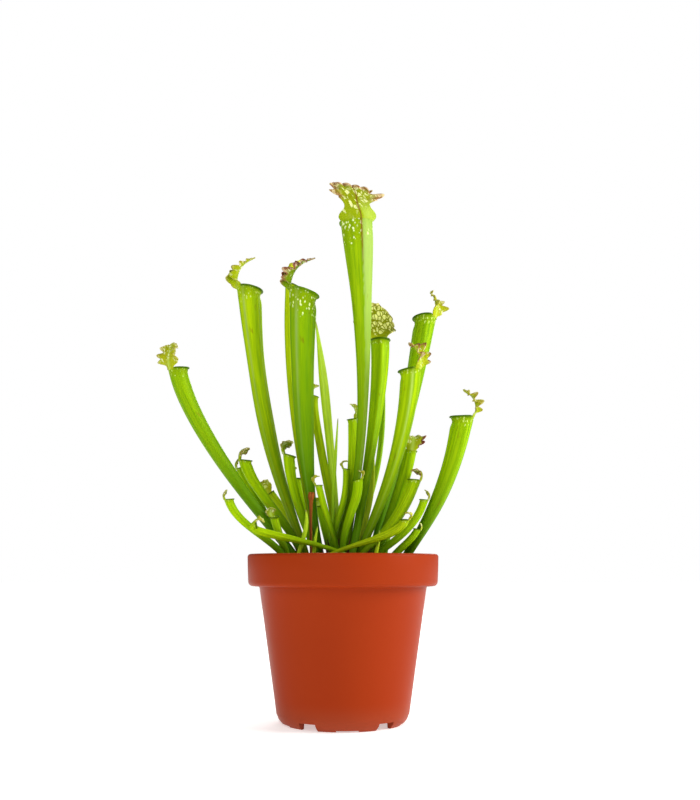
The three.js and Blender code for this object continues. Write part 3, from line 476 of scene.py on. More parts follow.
class LeafSettings(bpy.types.PropertyGroup):
    lime: bpy.props.FloatVectorProperty(
        name="Lime", description="Colour of the upper tubes", subtype="COLOR", default=shade(170, 206, 0),
    )
    green: bpy.props.FloatVectorProperty(
        name="Green", description="Colour of the lower stems", subtype="COLOR", default=shade(66, 112, 0),
    )
    # The colour of the painted highlight down the tubes' backs, which stands for the white surround's
    # reflection
    painted_sheen: bpy.props.FloatVectorProperty(
        name="Painted sheen", description="Colour of the pale back", subtype="COLOR",
        default=shade(174, 196, 124),
    )
    lip: bpy.props.FloatVectorProperty(
        name="Lip", description="Colour of the rolled lip", subtype="COLOR", default=shade(62, 92, 6),
    )
    window: bpy.props.FloatVectorProperty(
        name="Windows", description="Colour of the pale windows", subtype="COLOR",
        default=shade(246, 252, 206),
    )
    hood: bpy.props.FloatVectorProperty(
        name="Hood", description="Colour of the hood's veins", subtype="COLOR", default=shade(132, 146, 12),
    )
    margin: bpy.props.FloatVectorProperty(
        name="Hood edge", description="Colour of the hood's frilled edge", subtype="COLOR",
        default=shade(150, 84, 62),
    )
    blade: bpy.props.FloatProperty(
        name="Hood thickness", description="Thickness of the hood's blade", default=0.6 * MM, unit="LENGTH",
    )
    lip_size: bpy.props.FloatProperty(
        name="Lip roll", description="Radius of the rolled lip as a share of the mouth's radius",
        default=0.08, min=0.02, max=0.2, subtype="FACTOR",
    )


class SoilSettings(bpy.types.PropertyGroup):
    peat: bpy.props.FloatVectorProperty(
        name="Peat", description="Colour of the damp peat", subtype="COLOR", default=shade(66, 46, 32),
    )
    crumbs: bpy.props.IntProperty(
        name="Crumbs", description="How many crumbs lie on the soil", default=900, min=0, max=2000,
    )


class StageSettings(bpy.types.PropertyGroup):
    floor: bpy.props.FloatVectorProperty(
        name="Floor", description="Colour of the studio floor", subtype="COLOR",
        default=shade(244, 244, 242),
    )
    key_light: bpy.props.FloatProperty(
        name="Key light", description="Power of the large soft light", default=24, unit="POWER",
    )


class PitcherPlantSettings(bpy.types.PropertyGroup):
    pot: bpy.props.PointerProperty(type=PotSettings)
    leaf: bpy.props.PointerProperty(type=LeafSettings)
    soil: bpy.props.PointerProperty(type=SoilSettings)
    stage: bpy.props.PointerProperty(type=StageSettings)


# Shader nodes


def feed(tree, socket, value):
    """Links a socket, or sets its own value."""
    if isinstance(value, bpy.types.NodeSocket):
        tree.links.new(value, socket)
    elif hasattr(value, "__len__") and len(value) == 3 and len(socket.default_value) == 4:
        socket.default_value = (*value, 1)
    else:
        socket.default_value = value


def maths(tree, action, *values):
    node = tree.nodes.new("ShaderNodeMath")
    node.operation = action
    for socket, value in zip(node.inputs, values):
        feed(tree, socket, value)
    return node.outputs[0]


def times(tree, one, two):
    return maths(tree, "MULTIPLY", one, two)


def eased(tree, value, low, high, out_low=0.0, out_high=1.0):
    """A value read between two limits with soft ends."""
    node = tree.nodes.new("ShaderNodeMapRange")
    node.interpolation_type = "SMOOTHSTEP"
    limits = {"Value": value, "From Min": low, "From Max": high, "To Min": out_low, "To Max": out_high}
    for title, given in limits.items():
        feed(tree, node.inputs[title], given)
    return node.outputs["Result"]


def blend(tree, share, one, two):
    """One colour mixed into another by a share."""
    node = tree.nodes.new("ShaderNodeMix")
    node.data_type = "RGBA"
    feed(tree, node.inputs[0], share)
    feed(tree, node.inputs[6], one)
    feed(tree, node.inputs[7], two)
    return node.outputs[2]


def painted(tree, colour, *coats):
    """A colour with coats laid over it one after the other, each a share and a colour."""
    for share, coat in coats:
        colour = blend(tree, share, colour, coat)
    return colour


def stretched(tree, vector, scale):
    """A vector scaled on each axis."""
    node = tree.nodes.new("ShaderNodeMapping")
    feed(tree, node.inputs["Vector"], vector)
    node.inputs["Scale"].default_value = scale
    return node.outputs[0]


def noise(tree, vector, scale, detail=2.0, roughness=0.5):
    node = tree.nodes.new("ShaderNodeTexNoise")
    values = {"Vector": vector, "Scale": scale, "Detail": detail, "Roughness": roughness}
    for title, value in values.items():
        feed(tree, node.inputs[title], value)
    return node.outputs["Fac"]


def kept_vector(tree, name):
    """The three numbers kept on the mesh under a name, as one vector."""
    source = tree.nodes.new("ShaderNodeAttribute")
    source.attribute_name = name
    return source.outputs["Vector"]


def parts_of(tree, vector):
    """The three numbers of a vector."""
    split = tree.nodes.new("ShaderNodeSeparateXYZ")
    tree.links.new(vector, split.inputs[0])
    return tuple(split.outputs)


def kept_parts(tree, name):
    """The three numbers kept on the mesh under a name, each by itself."""
    return parts_of(tree, kept_vector(tree, name))


def object_place(tree):
    return tree.nodes.new("ShaderNodeTexCoord").outputs["Object"]


def new_group(name, inputs, outputs):
    """An empty shader node group with named sockets."""
    tree = bpy.data.node_groups.new(name, "ShaderNodeTree")
    tree.interface.new_socket(name="Place", in_out="INPUT", socket_type="NodeSocketVector")
    for title, default in inputs.items():
        socket = tree.interface.new_socket(name=title, in_out="INPUT", socket_type="NodeSocketFloat")
        socket.default_value = default
    for title in outputs:
        tree.interface.new_socket(name=title, in_out="OUTPUT", socket_type="NodeSocketFloat")
    return tree, tree.nodes.new("NodeGroupInput").outputs, tree.nodes.new("NodeGroupOutput").inputs


def use_group(tree, name, make, place, **values):
    """The results of a node group, which is made the first time it is asked for."""
    node = tree.nodes.new("ShaderNodeGroup")
    node.node_tree = bpy.data.node_groups.get(name) or make(name)
    feed(tree, node.inputs["Place"], place)
    for title, value in values.items():
        feed(tree, node.inputs[title], value)
    return node.outputs


def veins_group(name):
    """Lengthwise veins of a leaf: soft bands and fine lines."""
    tree, given, result = new_group(name, {"Lines": 9.0}, ("Bands", "Lines"))
    place = stretched(tree, given["Place"], (1.0, 1.0, 0.045))
    feed(tree, result["Bands"], eased(tree, noise(tree, place, 2.6, 3.0, 0.55), 0.36, 0.66))
    feed(tree, result["Lines"], eased(tree, noise(tree, place, given["Lines"], 1.0, 0.4), 0.5, 0.66))
    return tree


def net_group(name):
    """A net of branching veins round pale windows."""
    tree, given, result = new_group(name, {"Cells": 5.0, "Width": 0.12}, ("Net", "Middle", "Chance"))
    wander = tree.nodes.new("ShaderNodeTexNoise")
    feed(tree, wander.inputs["Vector"], given["Place"])
    wander.inputs["Scale"].default_value = 3.0
    bent = tree.nodes.new("ShaderNodeVectorMath")
    bent.operation = "MULTIPLY_ADD"
    tree.links.new(wander.outputs["Color"], bent.inputs[0])
    bent.inputs[1].default_value = (0.12, 0.12, 0.12)
    tree.links.new(given["Place"], bent.inputs[2])
    edges = tree.nodes.new("ShaderNodeTexVoronoi")
    edges.feature = "DISTANCE_TO_EDGE"
    cells = tree.nodes.new("ShaderNodeTexVoronoi")
    for node in (edges, cells):
        feed(tree, node.inputs["Vector"], bent.outputs[0])
        feed(tree, node.inputs["Scale"], given["Cells"])
    low = times(tree, given["Width"], 0.5)
    feed(tree, result["Net"], eased(tree, edges.outputs["Distance"], low, given["Width"], 1.0, 0.0))
    feed(tree, result["Middle"], cells.outputs["Distance"])
    split = tree.nodes.new("ShaderNodeSeparateColor")
    tree.links.new(cells.outputs["Color"], split.inputs[0])
    feed(tree, result["Chance"], split.outputs[0])
    return tree


def grain_group(name):
    """Fine uneven grain for plastic, soil and dead leaves."""
    tree, given, result = new_group(name, {"Size": 900.0}, ("Grain", "Cloud"))
    feed(tree, result["Grain"], noise(tree, given["Place"], given["Size"], 4.0, 0.6))
    cloud_scale = times(tree, given["Size"], 0.035)
    feed(tree, result["Cloud"], eased(tree, noise(tree, given["Place"], cloud_scale, 3.0), 0.3, 0.7))
    return tree


def veins_of(tree, place, lines):
    return use_group(tree, "Lengthwise veins", veins_group, place, Lines=lines)


def net_of(tree, place, stretch, cells, width):
    """A net over a place that is stretched first."""
    return use_group(tree, "Vein net", net_group, stretched(tree, place, stretch), Cells=cells, Width=width)


def grain_of(tree, place, size):
    return use_group(tree, "Fine grain", grain_group, place, Size=size)


def new_material(name, **constants):
    """A material with its shader, ready to be fed."""
    material = bpy.data.materials.new(name)
    material.use_nodes = True
    tree = material.node_tree
    shader = tree.nodes["Principled BSDF"]
    for title, value in constants.items():
        shader.inputs[title.replace("_", " ")].default_value = value
    return material, tree, shader


def material_called(name, make, *given):
    """The material of a name, which is made the first time it is asked for."""
    return bpy.data.materials.get(name) or make(name, *given)


def roughen(tree, shader, height, strength, distance):
    """Feeds a bump to the shader's normal."""
    bump = tree.nodes.new("ShaderNodeBump")
    bump.inputs["Strength"].default_value = strength
    bump.inputs["Distance"].default_value = distance
    feed(tree, bump.inputs["Height"], height)
    tree.links.new(bump.outputs[0], shader.inputs["Normal"])


def tinted(tree, colour):
    """A colour with the leaf's own tint: yellower, darker."""
    yellow, dark, _ = kept_parts(tree, "tint")
    return painted(tree, colour, (times(tree, yellow, 0.6), YELLOWER), (times(tree, dark, 0.8), DARKER))


def tube_material(name, leaf):
    """Skin of the tubes: lime with lengthwise veins, a painted highlight down the back for the white
    surround's reflection, windows under the mouth, dark lip.
    """
    material, tree, shader = new_material(
        name, Subsurface_Weight=0.1, Subsurface_Scale=0.002, Subsurface_Radius=(0.6, 1.0, 0.2),
        Specular_IOR_Level=0.04, Coat_Weight=1.0, Coat_Roughness=0.5, Coat_IOR=1.05,
        Coat_Tint=(0.92, 0.96, 0.8, 1.0),
    )
    place = kept_vector(tree, "grain")
    back, spots, rolled = kept_parts(tree, "zones")
    height, rib, inside = kept_parts(tree, "span")
    bright = kept_parts(tree, "tint")[2]
    veins = veins_of(tree, place, 7.5)
    cells = net_of(tree, place, (1.0, 1.0, 0.62), 5.8, 0.1)
    near = eased(tree, cells["Middle"], 0.26, 0.42, 1.0, 0.0)
    window = times(tree, near, eased(tree, maths(tree, "SUBTRACT", spots, cells["Chance"]), 0.0, 0.12))
    scar = noise(tree, stretched(tree, place, (1.0, 1.0, 0.4)), 1.3, 3.0)
    pane = blend(tree, bright, DULL_WINDOW, leaf.window)
    green = blend(tree, eased(tree, height, 0.12, 0.86), leaf.green, leaf.lime)
    colour = painted(
        tree,
        tinted(tree, green),
        (times(tree, veins["Bands"], 0.42), TUBE_BAND),
        (times(tree, veins["Lines"], 0.3), TUBE_LINE),
        # a painted highlight down the back, standing for the white surround's reflection
        (times(tree, back, eased(tree, height, 0.4, 0.95, 0.12, 0.55)), leaf.painted_sheen),
        (eased(tree, scar, 0.66, 0.72, 0.0, 0.5), TUBE_SCAR),
        (times(tree, eased(tree, spots, 0.15, 0.9), 0.55), TUBE_SHADOW),
        (times(tree, window, 0.85), pane),
        (times(tree, rolled, eased(tree, bright, 0.0, 1.0, 0.9, 0.55)), leaf.lip),
        (rib, TUBE_RIB),
        (eased(tree, height, 0.0, 0.09, 0.75, 0.0), TUBE_FOOT),
        (inside, blend(tree, window, TUBE_INSIDE, leaf.window)),
    )
    feed(tree, shader.inputs["Base Color"], colour)
    feed(tree, shader.inputs["Roughness"], maths(tree, "MULTIPLY_ADD", veins["Lines"], 0.12, 0.42))
    relief = maths(tree, "ADD", veins["Lines"], times(tree, veins["Bands"], 1.4))
    roughen(tree, shader, relief, 0.35, 0.00025)
    return material


def hood_material(name, leaf, netted):
    """Skin of the hoods: a green to brown vein net round cream windows, with a reddish frilled edge."""
    material, tree, shader = new_material(
        name, Subsurface_Weight=0.12, Subsurface_Scale=0.002, Subsurface_Radius=(0.8, 1.0, 0.3),
        Specular_IOR_Level=0.05,
    )
    place = kept_vector(tree, "hood_place")
    margin, panes, height = kept_parts(tree, "hood_zones")
    rib, gold, midrib_and_sheen = kept_parts(tree, "hood_more")
    bright = kept_parts(tree, "tint")[2]
    pink, purple, net = kept_parts(tree, "flush")
    if netted:
        cells = net_of(tree, place, (1.1, 0.72, 1.0), 3.3, 0.15)
    else:
        cells = net_of(tree, place, (1.0, 0.85, 1.0), 4.4, 0.22)
    chosen = eased(tree, maths(tree, "SUBTRACT", panes, cells["Chance"]), 0.0, 0.2)
    window = times(tree, maths(tree, "SUBTRACT", 1.0, cells["Net"]), chosen)
    window = times(tree, window, eased(tree, net, 0.0, 1.0, 0.6, 1.0))
    edge = eased(tree, margin, maths(tree, "MULTIPLY_ADD", bright, -0.28, 0.6), 0.95)
    red = times(tree, edge, pink)
    blotch = noise(tree, place, 3.4)
    frill = painted(
        tree,
        leaf.margin,
        (eased(tree, blotch, 0.5, 0.58), EDGE_LIGHT),
        (eased(tree, blotch, 0.36, 0.44, 0.9, 0.0), EDGE_DARK),
    )
    pane = blend(tree, red, blend(tree, net, CREAM, YELLOW_CREAM), PINK_CREAM)
    patch = eased(tree, noise(tree, place, 2.2), 0.3, 0.6, 0.45, 1.0)
    green = blend(tree, eased(tree, height, 0.15, 0.6), HOOD_FOOT, leaf.hood)
    colour = painted(
        tree,
        tinted(tree, green),
        (gold, HOOD_GOLD),
        (times(tree, net, eased(tree, height, 0.1, 0.5)), HOOD_NET),
        (times(tree, edge, 0.35), HOOD_RIM),
        (red, frill),
        (times(tree, edge, purple), HOOD_PURPLE),
        # a pale midrib, and on the leaf with its painted highlight on the left, that painted highlight
        # carried up the hood's foot
        (times(tree, midrib_and_sheen, maths(tree, "MULTIPLY_ADD", net, -0.6, 0.6)), HOOD_MIDRIB_AND_SHEEN),
        (times(tree, window, patch), pane),
        (rib, HOOD_RIB),
    )
    feed(tree, shader.inputs["Base Color"], colour)
    feed(tree, shader.inputs["Roughness"], maths(tree, "MULTIPLY_ADD", window, 0.1, 0.38))
    roughen(tree, shader, times(tree, cells["Net"], chosen), 0.5, 0.0004)
    return material


def flat_material(name):
    """Skin of the flat leaves and shoots."""
    material, tree, shader = new_material(
        name, Roughness=0.45, Subsurface_Weight=0.15, Subsurface_Scale=0.002,
        Subsurface_Radius=(0.6, 1.0, 0.2), Specular_IOR_Level=0.2,
    )
    height = kept_parts(tree, "span")[0]
    veins = veins_of(tree, kept_vector(tree, "grain"), 8.5)
    colour = painted(
        tree,
        tinted(tree, blend(tree, eased(tree, height, 0.0, 0.5), FLAT_LOW, FLAT_HIGH)),
        (times(tree, veins["Lines"], 0.4), FLAT_LINE),
        (eased(tree, height, 0.93, 1.0, 0.0, 0.8), FLAT_TIP),
        (eased(tree, height, 0.0, 0.14, 0.6, 0.0), FLAT_SHEATH),
    )
    feed(tree, shader.inputs["Base Color"], colour)
    roughen(tree, shader, veins["Lines"], 0.35, 0.0002)
    return material


def dried_material(name, light, dark):
    """Dead leaf: papery, streaked and cracked."""
    material, tree, shader = new_material(name, Roughness=0.85, Specular_IOR_Level=0.25)
    veins = veins_of(tree, kept_vector(tree, "grain"), 10.0)
    grain = grain_of(tree, object_place(tree), 1400.0)
    colour = painted(tree, light, (veins["Bands"], dark), (times(tree, grain["Grain"], 0.4), CRACKS))
    feed(tree, shader.inputs["Base Color"], colour)
    roughen(tree, shader, veins["Lines"], 0.6, 0.0003)
    return material


def plastic_material(name, pot):
    """Moulded plastic with a faint grain, a cloudy sheen and a dusty foot."""
    material, tree, shader = new_material(name, Specular_IOR_Level=0.06)
    place = object_place(tree)
    grain = grain_of(tree, place, 1600.0)
    broad = grain_of(tree, stretched(tree, place, (1.0, 1.0, 0.25)), 420.0)
    colour = painted(
        tree,
        pot.colour,
        (times(tree, broad["Cloud"], 0.22), PLASTIC_CLOUD),
        (times(tree, grain["Grain"], 0.1), PLASTIC_GRAIN),
        (eased(tree, parts_of(tree, place)[2], 0.0, 0.02, 0.16, 0.0), DUST),
    )
    feed(tree, shader.inputs["Base Color"], colour)
    feed(tree, shader.inputs["Roughness"], maths(tree, "MULTIPLY_ADD", broad["Cloud"], 0.1, 0.36))
    roughen(tree, shader, grain["Grain"], 0.12, 0.0001)
    return material


def peat_material(name, colour, other):
    """Damp peat or bark: matt and crumbly, with dark specks painted as the shade in the gaps."""
    material, tree, shader = new_material(name, Roughness=0.92, Specular_IOR_Level=0.2)
    grain = grain_of(tree, object_place(tree), 700.0)
    # near-black specks painted as the shade that falls in the gaps between crumbs
    gap_shade = eased(tree, grain["Grain"], 0.45, 0.7)
    mixed = painted(tree, colour, (grain["Cloud"], other), (gap_shade, PEAT_GAP_SHADE))
    feed(tree, shader.inputs["Base Color"], mixed)
    roughen(tree, shader, grain["Grain"], 0.7, 0.0008)
    return material


# The form of the leaves


def smooth(value, low, high):
    """A value read between two limits with soft ends, from 0 to 1."""
    share = np.clip((np.asarray(value, float) - low) / (high - low), 0, 1)
    return share * share * (3 - 2 * share)


def bell(value, middle, width):
    """A soft hump, 1 at its middle."""
    return np.exp(-(((value - middle) / width) ** 2))


def mix(one, two, share):
    return one + (two - one) * share


def unit(vectors):
    return vectors / np.linalg.norm(vectors, axis=-1, keepdims=True)


def spread(values, at):
    """Reads values spread evenly over 0 to 1, with a smooth line through them."""
    values = np.array(values, float)
    last = len(values) - 1
    place = np.clip(at, 0, 1) * last
    start = np.minimum(np.floor(place).astype(int), last - 1)
    share = place - start
    one = values[start]
    two = values[start + 1]
    rise = (two - values[np.maximum(start - 1, 0)]) / 2
    fall = (values[np.minimum(start + 2, last)] - one) / 2
    bump = share * share * (3 - 2 * share)
    return mix(one, two, bump) + rise * share * (1 - share) ** 2 + fall * share * share * (share - 1)


def leaf_line(leaf):
    """The line that a leaf follows: an upright peg in the soil, then one bend out and up."""
    bend = np.array((*leaf.foot, BEND_START), float)
    rise = bend + (0, 0, leaf.rise)
    reach = np.array(leaf.reach, float)
    mouth = np.array(leaf.mouth, float)
    t = np.linspace(0, 1, 401)[:, None]
    curve = (1 - t) ** 3 * bend + 3 * (1 - t) ** 2 * t * rise + 3 * (1 - t) * t * t * reach + t ** 3 * mouth
    points = np.vstack(((*leaf.foot, PEG_BOTTOM), curve)) + (AXIS_X, AXIS_Y, 0)
    steps = np.linalg.norm(np.diff(points, axis=0), axis=1)
    return points, np.concatenate(((0,), np.cumsum(steps)))


def point_on(line, distance):
    points, along = line
    return np.stack([np.interp(distance, along, points[:, i]) for i in range(3)], -1)


def leaf_frame(leaf, line, distance):
    """Point, direction, front and side of a leaf at distances from its foot."""
    length = line[1][-1]
    at = np.clip(distance, 0, length)
    ahead = point_on(line, np.minimum(at + 0.5, length))
    behind = point_on(line, np.maximum(at - 0.5, 0))
    along = unit(ahead - behind)
    facing = math.radians(leaf.faces)
    front = np.array((math.cos(facing), math.sin(facing), 0))
    front = unit(front - along * np.sum(along * front, -1, keepdims=True))
    return point_on(line, at), along, front, np.cross(along, front)


def turns_of(fine):
    """The turns round a tube, from its back past its front to its back again."""
    return np.linspace(-math.pi, math.pi, fine["sides"] + 1)[None, :]


def tube_form(leaf, lip_size):
    """Points and marks of a trumpet: outside, rolled lip, then down into the cup."""
    marks = leaf.marks
    fine = FINENESS[leaf.size]
    line = leaf_line(leaf)
    length = line[1][-1]
    mouth = leaf.widths[-1] / 2
    peg = BEND_START - PEG_BOTTOM
    stem = length - peg
    rim = length - UNDER_MOUTH * mouth
    floor = length - leaf.cup
    turn = turns_of(fine)
    off_front = np.abs(turn)
    ahead = np.cos(turn)
    aside = np.sin(turn)
    even = np.ones_like(turn)

    def radius_at(distance):
        return spread(leaf.widths, (np.asarray(distance) - peg) / stem) / 2

    radial = [0 * even, radius_at(0) * even]
    distance = [0 * even, 0 * even]
    for share in np.linspace(0, 1, fine["rings"] + 1):
        along = mix(peg, rim, share)
        radial.append(radius_at(along) * even)
        distance.append(along * even)
    lip_start = len(radial)
    neck = math.pi - leaf.hood.neck
    free = 1 - smooth(off_front, neck - 0.3, neck + 0.05)
    roll = mouth * lip_size * marks.roll * mix(0.2, 1.0, free) * (1 + 0.35 * smooth(ahead, 0.2, 1))
    for angle in np.radians(np.linspace(*LIP_TURN, fine["lip"])):
        radial.append(mouth + 0.6 * roll + roll * math.cos(angle))
        distance.append(length + roll * math.sin(angle))
    lip_end = len(radial)
    for share in np.linspace(0, 1, fine["cup"]):
        along = mix(rim, floor, share ** 1.3)
        radial.append((radius_at(along) - WALL) * even)
        distance.append(along * even)
    radial.append(0 * even)
    distance.append((floor - 1) * even)
    radial = np.concatenate(radial)
    distance = np.concatenate(distance)
    rows = np.arange(len(radial))[:, None]
    on_outside = rows < lip_end
    # the seam up the front and the soft shoulders at the back
    grown = smooth(distance, peg, peg + 0.25 * stem)
    fade = 1 - smooth(distance, length - 1.5 * mouth, length - 0.1 * mouth)
    keel = leaf.ridge * 1.15 * bell(turn, 0, 0.24)
    shoulder = 0.05 * bell(off_front, 2.15, 0.2) - 0.05 * smooth(off_front, 2.3, 2.8)
    radial = radial * (1 + (keel + shoulder) * grown * fade * on_outside)
    beak = marks.beak * mouth * np.maximum(ahead, 0) ** 3
    radial = radial + beak * smooth(distance, length - 0.7 * mouth, length) * on_outside
    droop = leaf.droop * mouth * smooth(distance, length - 1.6 * mouth, length)
    point, along, front, side = leaf_frame(leaf, line, distance)
    above = np.maximum(distance - length, 0) - droop * ahead * radial / mouth
    points = point + along * above[..., None]
    points = points + front * (radial * ahead)[..., None] + side * (radial * aside)[..., None]
    # The painted highlight down the back, which stands for the white surround's reflection: narrow strips
    # on both flanks, a broad band on the left, or none
    backs = {
        "none": 0 * even,
        "both": bell(off_front, 2.3, 0.13),
        "left": smooth(-turn, 1.75, 1.9),
    }
    back = backs[marks.pale]
    pale = back * grown * on_outside * (1 - 0.4 * smooth(distance, length - 0.6 * mouth, length))
    reach = marks.spots * mouth
    lip = smooth(rows, lip_start - 1.5, lip_start + 1) * on_outside * free
    spots = smooth(distance, length - reach, length - 0.15 * reach) * on_outside
    spots = spots * (0.9 - 0.5 * back * (marks.pale == "left")) * (1 - 0.8 * lip)
    rib = marks.rib * smooth(distance, length - 48, length - 12) * bell(off_front, math.pi, 0.07)
    fields = {
        "grain": (ahead, aside, (length - distance) / 10),
        "zones": (pale, spots, lip),
        "span": (np.clip((distance - peg) / stem, 0, 1), rib * on_outside, 1 - on_outside * even),
    }
    return points, fields


def hood_form(leaf):
    """Points and marks of a hood: a gutter that widens, turns its edges back, arches and frills."""
    hood = leaf.hood
    marks = leaf.marks
    fine = FINENESS[leaf.size]
    large = leaf.size == "large"
    line = leaf_line(leaf)
    length = line[1][-1]
    mouth = leaf.widths[-1] / 2
    full = hood.width / 2
    point, along, front, side = leaf_frame(leaf, line, np.array(length))
    u = np.linspace(0, 1, fine["rows"] + 1)[:, None]
    v = np.linspace(-1, 1, fine["columns"] + 1)[None, :]
    edge = np.abs(v) ** 3
    corner = np.abs(v) ** 4
    # the blade comes out of the tube's wall just under its edge, so that no step shows from behind
    radius = mouth + 0.15 - WALL * (1 - smooth(u, 0, 0.09))
    base = point - front * radius[..., None] + along * (leaf.droop * mouth - UNDER_MOUTH * mouth)

    def lean_at(share):
        return np.radians(mix(hood.lean, hood.curl, smooth(share, 0.1, 1)))

    # its middle line
    middle = lean_at((u[1:] + u[:-1]) / 2)
    step = hood.length / fine["rows"]
    start = np.zeros((1, 1))
    climb = np.concatenate((start, np.cumsum(np.cos(middle) * step, axis=0)))
    forth = np.concatenate((start, np.cumsum(np.sin(middle) * step, axis=0)))
    angle = lean_at(u)
    # its half width, and how far the wings bend round
    opened = smooth(u, hood.opens, hood.opens + 0.4)
    narrowed = hood.blunt * smooth(u, 0.55, 1) ** 2
    half = mix(radius * hood.neck, full, opened) * np.sqrt(1 - narrowed)
    half = half * (1 - marks.waist * np.sin(math.pi * np.clip(u / 0.76, 0, 1)) ** 2)
    half = half * mix(1, marks.breadth, smooth(u, marks.turned / 2, 0.65))
    calm = mix(0.35, 1, np.clip(half / full, 0, 1))
    folded = -marks.fold * hood.back / full
    bend = mix(1 / radius, folded, smooth(u, marks.turned / 10, marks.turned))
    bend = np.where(np.abs(bend) < LEAST_BEND, LEAST_BEND, bend)
    # its waves, lobes and frills
    crimp = marks.crimp if large else 4.0
    ruffle = marks.ruffle * (1.5 if large else 0.6) * min(1, hood.width / 18 + 0.3)
    wave = np.sin(v * 7.5 + u * hood.waves + hood.phase) * hood.frill * edge * opened * calm
    lobe = np.sin(u * hood.waves * 1.4 + hood.phase * 2 + np.where(v > 0, 1.3, 0))
    run = u * hood.length * 2 * math.pi / crimp + hood.phase * 3
    knob = 2 * np.abs(np.sin(run / 2 + np.where(v > 0, 1, 0))) ** 0.8 - 1
    knobs = 0.2 * marks.ruffle * knob * corner * opened
    reach = v * half * (1 + marks.lobes * lobe * edge * opened + knobs)
    across = reach * 2 * math.pi / crimp
    tip = smooth(u, 0.75, 1)
    margin = np.maximum(v ** 2 * smooth(u, hood.opens, hood.opens + 0.25), tip)
    folds = np.cos(run + np.where(v > 0, 2.1, 0)) * corner * opened * (1 - tip)
    folds = ruffle * calm * (folds + np.cos(across + hood.phase) * tip * 0.9)
    stretch = ruffle * 0.8 * np.cos(across + 1) * tip ** 2 + hood.tilt * v * opened
    flare = marks.flare * np.sign(v) * corner * smooth(u, 0.02, 0.14) * (1 - smooth(u, 0.15, 0.34))
    reach = reach + hood.offset * opened
    sway = hood.sway * smooth(u, 0, 0.9)
    inward = front * np.cos(angle)[..., None] - along * np.sin(angle)[..., None]
    ahead = along * np.cos(angle)[..., None] + front * np.sin(angle)[..., None]
    points = base + along * climb[..., None] + front * forth[..., None]
    points = points + side * (np.sin(bend * reach) / bend + sway + flare)[..., None]
    points = points + inward * ((1 - np.cos(bend * reach)) / bend + wave + folds)[..., None]
    points = points + ahead * stretch[..., None]
    rib = marks.rib * bell(v * half, 0, 0.6) * (1 - 0.5 * smooth(u, 0.6, 1))
    strip = bell(v * half, 0, 1.3) * (1 - 0.5 * smooth(u, 0.5, 1))
    # A leaf whose tube has the painted highlight on its left gets, in place of the pale midrib, a pale band
    # up the left of the hood's foot that carries that painted highlight on
    if marks.pale == "left":
        strip = smooth(-v, 0.08, 0.16) * (1 - smooth(u, 0.2, 0.7))
    panes = mix(0.45, 1.5, smooth(u, 0.2, 0.8)) * marks.panes
    fields = {
        "hood_more": (rib, marks.gold, strip),
        "hood_place": (reach / 10, u * hood.length / 10, hood.phase * 3.7),
        "hood_zones": (margin, panes, u),
    }
    return points, fields


def stalk_form(leaf):
    """Points and marks of a leaf with no mouth, round or flattened."""
    fine = FINENESS[leaf.size]
    line = leaf_line(leaf)
    length = line[1][-1]
    turn = turns_of(fine)
    share = np.concatenate(((0,), np.linspace(0, 0.985, fine["rings"] + 1), (0.995, 1)))[:, None]
    breadth = mix(1, leaf.marks.breadth, smooth(share, 0.05, 0.3))
    radius = np.maximum(spread(leaf.widths, share) / 2, THINNEST)
    radius = radius * np.sqrt(1 - 0.75 * smooth(share, 0.97, 1)) * breadth
    radius[0] = 0
    radius[-1] = 0
    distance = share * length
    flat = mix(1, leaf.flat, smooth(distance, 10, 45))
    if leaf.torn:
        # a frayed head, a little wider than the rest
        distance = distance + 0.9 * smooth(share, 0.9, 1) * np.sin(turn * 3 + 1)
        radius = radius * (1 + 0.55 * smooth(share, 0.9, 0.95)) * (1 + 0.05 * np.sin(share * 90))
    point, _, front, side = leaf_frame(leaf, line, distance + 0 * turn)
    crease = 1 - 0.22 * bell(np.abs(turn), math.pi, 0.35) * (leaf.flat < 0.9)
    ahead = radius * np.cos(turn) * flat * crease
    points = point + front * ahead[..., None] + side * (radius * np.sin(turn))[..., None]
    fields = {
        "grain": (np.cos(turn), np.sin(turn), (length - distance) / 10),
        "span": (share, 0, 0),
    }
    return points, fields


# Meshes


def clear_selection():
    if bpy.context.object and bpy.context.object.mode != "OBJECT":
        bpy.ops.object.mode_set(mode="OBJECT")
    bpy.ops.object.select_all(action="DESELECT")


def named(name):
    """Names the active object and its mesh."""
    piece = bpy.context.object
    piece.name = name
    piece.data.name = name
    return piece


def remove(piece):
    """Takes a piece and its mesh out of the file."""
    mesh = piece.data
    bpy.data.objects.remove(piece)
    bpy.data.meshes.remove(mesh)


def edit(action):
    """Runs an action on the whole active mesh in edit mode."""
    bpy.ops.object.mode_set(mode="EDIT")
    bpy.ops.mesh.select_all(action="SELECT")
    action()
    bpy.ops.object.mode_set(mode="OBJECT")


def turn_faces_out():
    bpy.ops.mesh.select_all(action="SELECT")
    bpy.ops.mesh.normals_make_consistent(inside=False)


def keep(piece, title, numbers):
    """Keeps three numbers for each point of a mesh under a name."""
    field = piece.data.attributes.new(title, "FLOAT_VECTOR", "POINT")
    field.data.foreach_set("vector", numbers.astype(np.float32).ravel())


def keep_everywhere(piece, title, *numbers):
    """Keeps the same three numbers for all points of a mesh."""
    keep(piece, title, np.tile(np.array(numbers), len(piece.data.vertices)))


